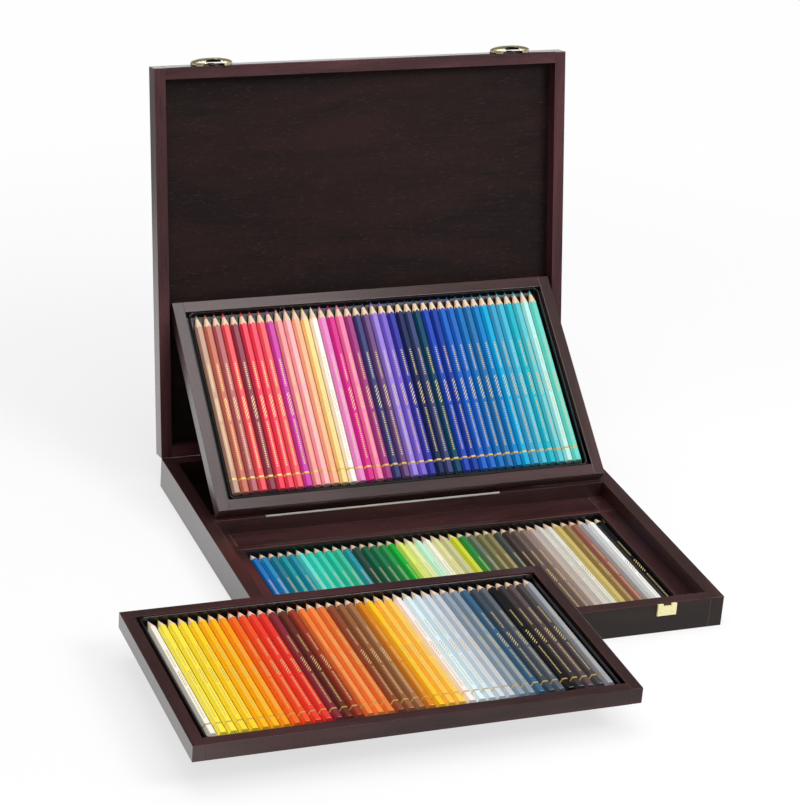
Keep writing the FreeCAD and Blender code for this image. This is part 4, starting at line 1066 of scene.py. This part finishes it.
def makeFloor(values):
    bpy.ops.mesh.primitive_plane_add(size=values["floorSize"], location=(0, 0, -values["floorDrop"]))
    floor = bpy.context.active_object
    floor.name = "floor"
    material, tree = newMaterial("pale paper floor")
    path = addNode(tree, "ShaderNodeLightPath").outputs
    where = addNode(tree, "ShaderNodeTexCoord").outputs["Object"]
    place = addNode(tree, "ShaderNodeSeparateXYZ", {0: where}).outputs
    paper = {}
    for name, (axis, low, high, start, end) in values["paper"].items():
        paper[name] = addNode(tree, "ShaderNodeMapRange", {
            "Value": place[axis], "From Min": low, "From Max": high, "To Min": start, "To Max": end},
            interpolation_type="SMOOTHSTEP")
    nearby = addNode(tree, "ShaderNodeMath", {0: paper["front"], 1: paper["left"]}, operation="MAXIMUM")
    nearby = addNode(tree, "ShaderNodeMath", {0: nearby, 1: paper["end"]}, operation="MULTIPLY")
    behindLeft = addNode(tree, "ShaderNodeMath", {0: paper["behind"], 1: paper["right"]}, operation="MAXIMUM")
    nearby = addNode(tree, "ShaderNodeMath", {0: nearby, 1: behindLeft}, operation="MULTIPLY")
    mirrored = addNode(tree, "ShaderNodeMath", {
        0: path["Is Glossy Ray"], 1: path["Is Transmission Ray"]}, operation="MAXIMUM")
    seen = addNode(tree, "ShaderNodeMath", {0: path["Is Camera Ray"], 1: mirrored}, operation="MAXIMUM")
    level = addNode(tree, "ShaderNodeMath", {0: path["Is Camera Ray"], 1: nearby}, operation="MAXIMUM")
    shaded = addNode(tree, "ShaderNodeBsdfDiffuse", {"Color": hexToLinear(values["floor"])})
    glow = addNode(tree, "ShaderNodeEmission", {"Color": (1, 1, 1, 1), "Strength": level})
    away = addNode(tree, "ShaderNodeVectorMath", {0: where}, operation="LENGTH").outputs["Value"]
    low, high, start, end = values["floorGlow"]
    share = addNode(tree, "ShaderNodeMapRange", {
        "Value": away, "From Min": low, "From Max": high, "To Min": start, "To Max": end},
        interpolation_type="SMOOTHSTEP")
    share = addNode(tree, "ShaderNodeMath", {0: seen, 1: share}, operation="MULTIPLY")
    both = addNode(tree, "ShaderNodeMixShader", {0: share, 1: shaded, 2: glow})
    addNode(tree, "ShaderNodeOutputMaterial", {"Surface": both})
    floor.data.materials.append(material)


def makeStudio(values):
    world = bpy.data.worlds.new("studio")
    world.use_nodes = True
    tree = world.node_tree
    tree.nodes.clear()
    path = addNode(tree, "ShaderNodeLightPath").outputs
    towards = addNode(tree, "ShaderNodeTexCoord").outputs["Generated"]
    way = addNode(tree, "ShaderNodeSeparateXYZ", {0: towards}).outputs
    room = {}
    for name, (axis, low, high, start, end) in values["room"].items():
        room[name] = addNode(tree, "ShaderNodeMapRange", {
            "Value": way[axis], "From Min": low, "From Max": high, "To Min": start, "To Max": end},
            interpolation_type="SMOOTHSTEP")
    mirrored = addNode(tree, "ShaderNodeMath", {
        0: path["Is Glossy Ray"], 1: path["Is Transmission Ray"]}, operation="MAXIMUM")
    shown = addNode(tree, "ShaderNodeMath", {0: room["height"], 1: room["behind"]}, operation="MULTIPLY")
    shown = addNode(tree, "ShaderNodeMath", {0: shown, 1: mirrored}, operation="MULTIPLY")
    plain = addNode(tree, "ShaderNodeMath", {0: 1.0, 1: mirrored}, operation="SUBTRACT")
    filled = addNode(tree, "ShaderNodeMath", {0: plain, 1: values["fill"]}, operation="MULTIPLY")
    lit = addNode(tree, "ShaderNodeMath", {0: shown, 1: filled}, operation="ADD")
    strength = addNode(tree, "ShaderNodeMath", {0: path["Is Camera Ray"], 1: lit}, operation="MAXIMUM")
    sky = addNode(tree, "ShaderNodeBackground", {"Color": (1, 1, 1, 1), "Strength": strength})
    addNode(tree, "ShaderNodeOutputWorld", {"Surface": sky})
    scene.world = world

    for name, (place, aim, size, power) in values["lamps"].items():
        lamp = bpy.data.objects.new(name, bpy.data.lights.new(name, "AREA"))
        lamp.data.energy, lamp.data.size = power, size
        lamp.location = place
        lamp.rotation_euler = (Vector(aim) - Vector(place)).to_track_quat("-Z", "Y").to_euler()
        lamp.visible_camera = False
        scene.collection.objects.link(lamp)


makeFloor(studio)
makeStudio(studio)
scene.view_settings.view_transform = "Standard"
print("studio set")
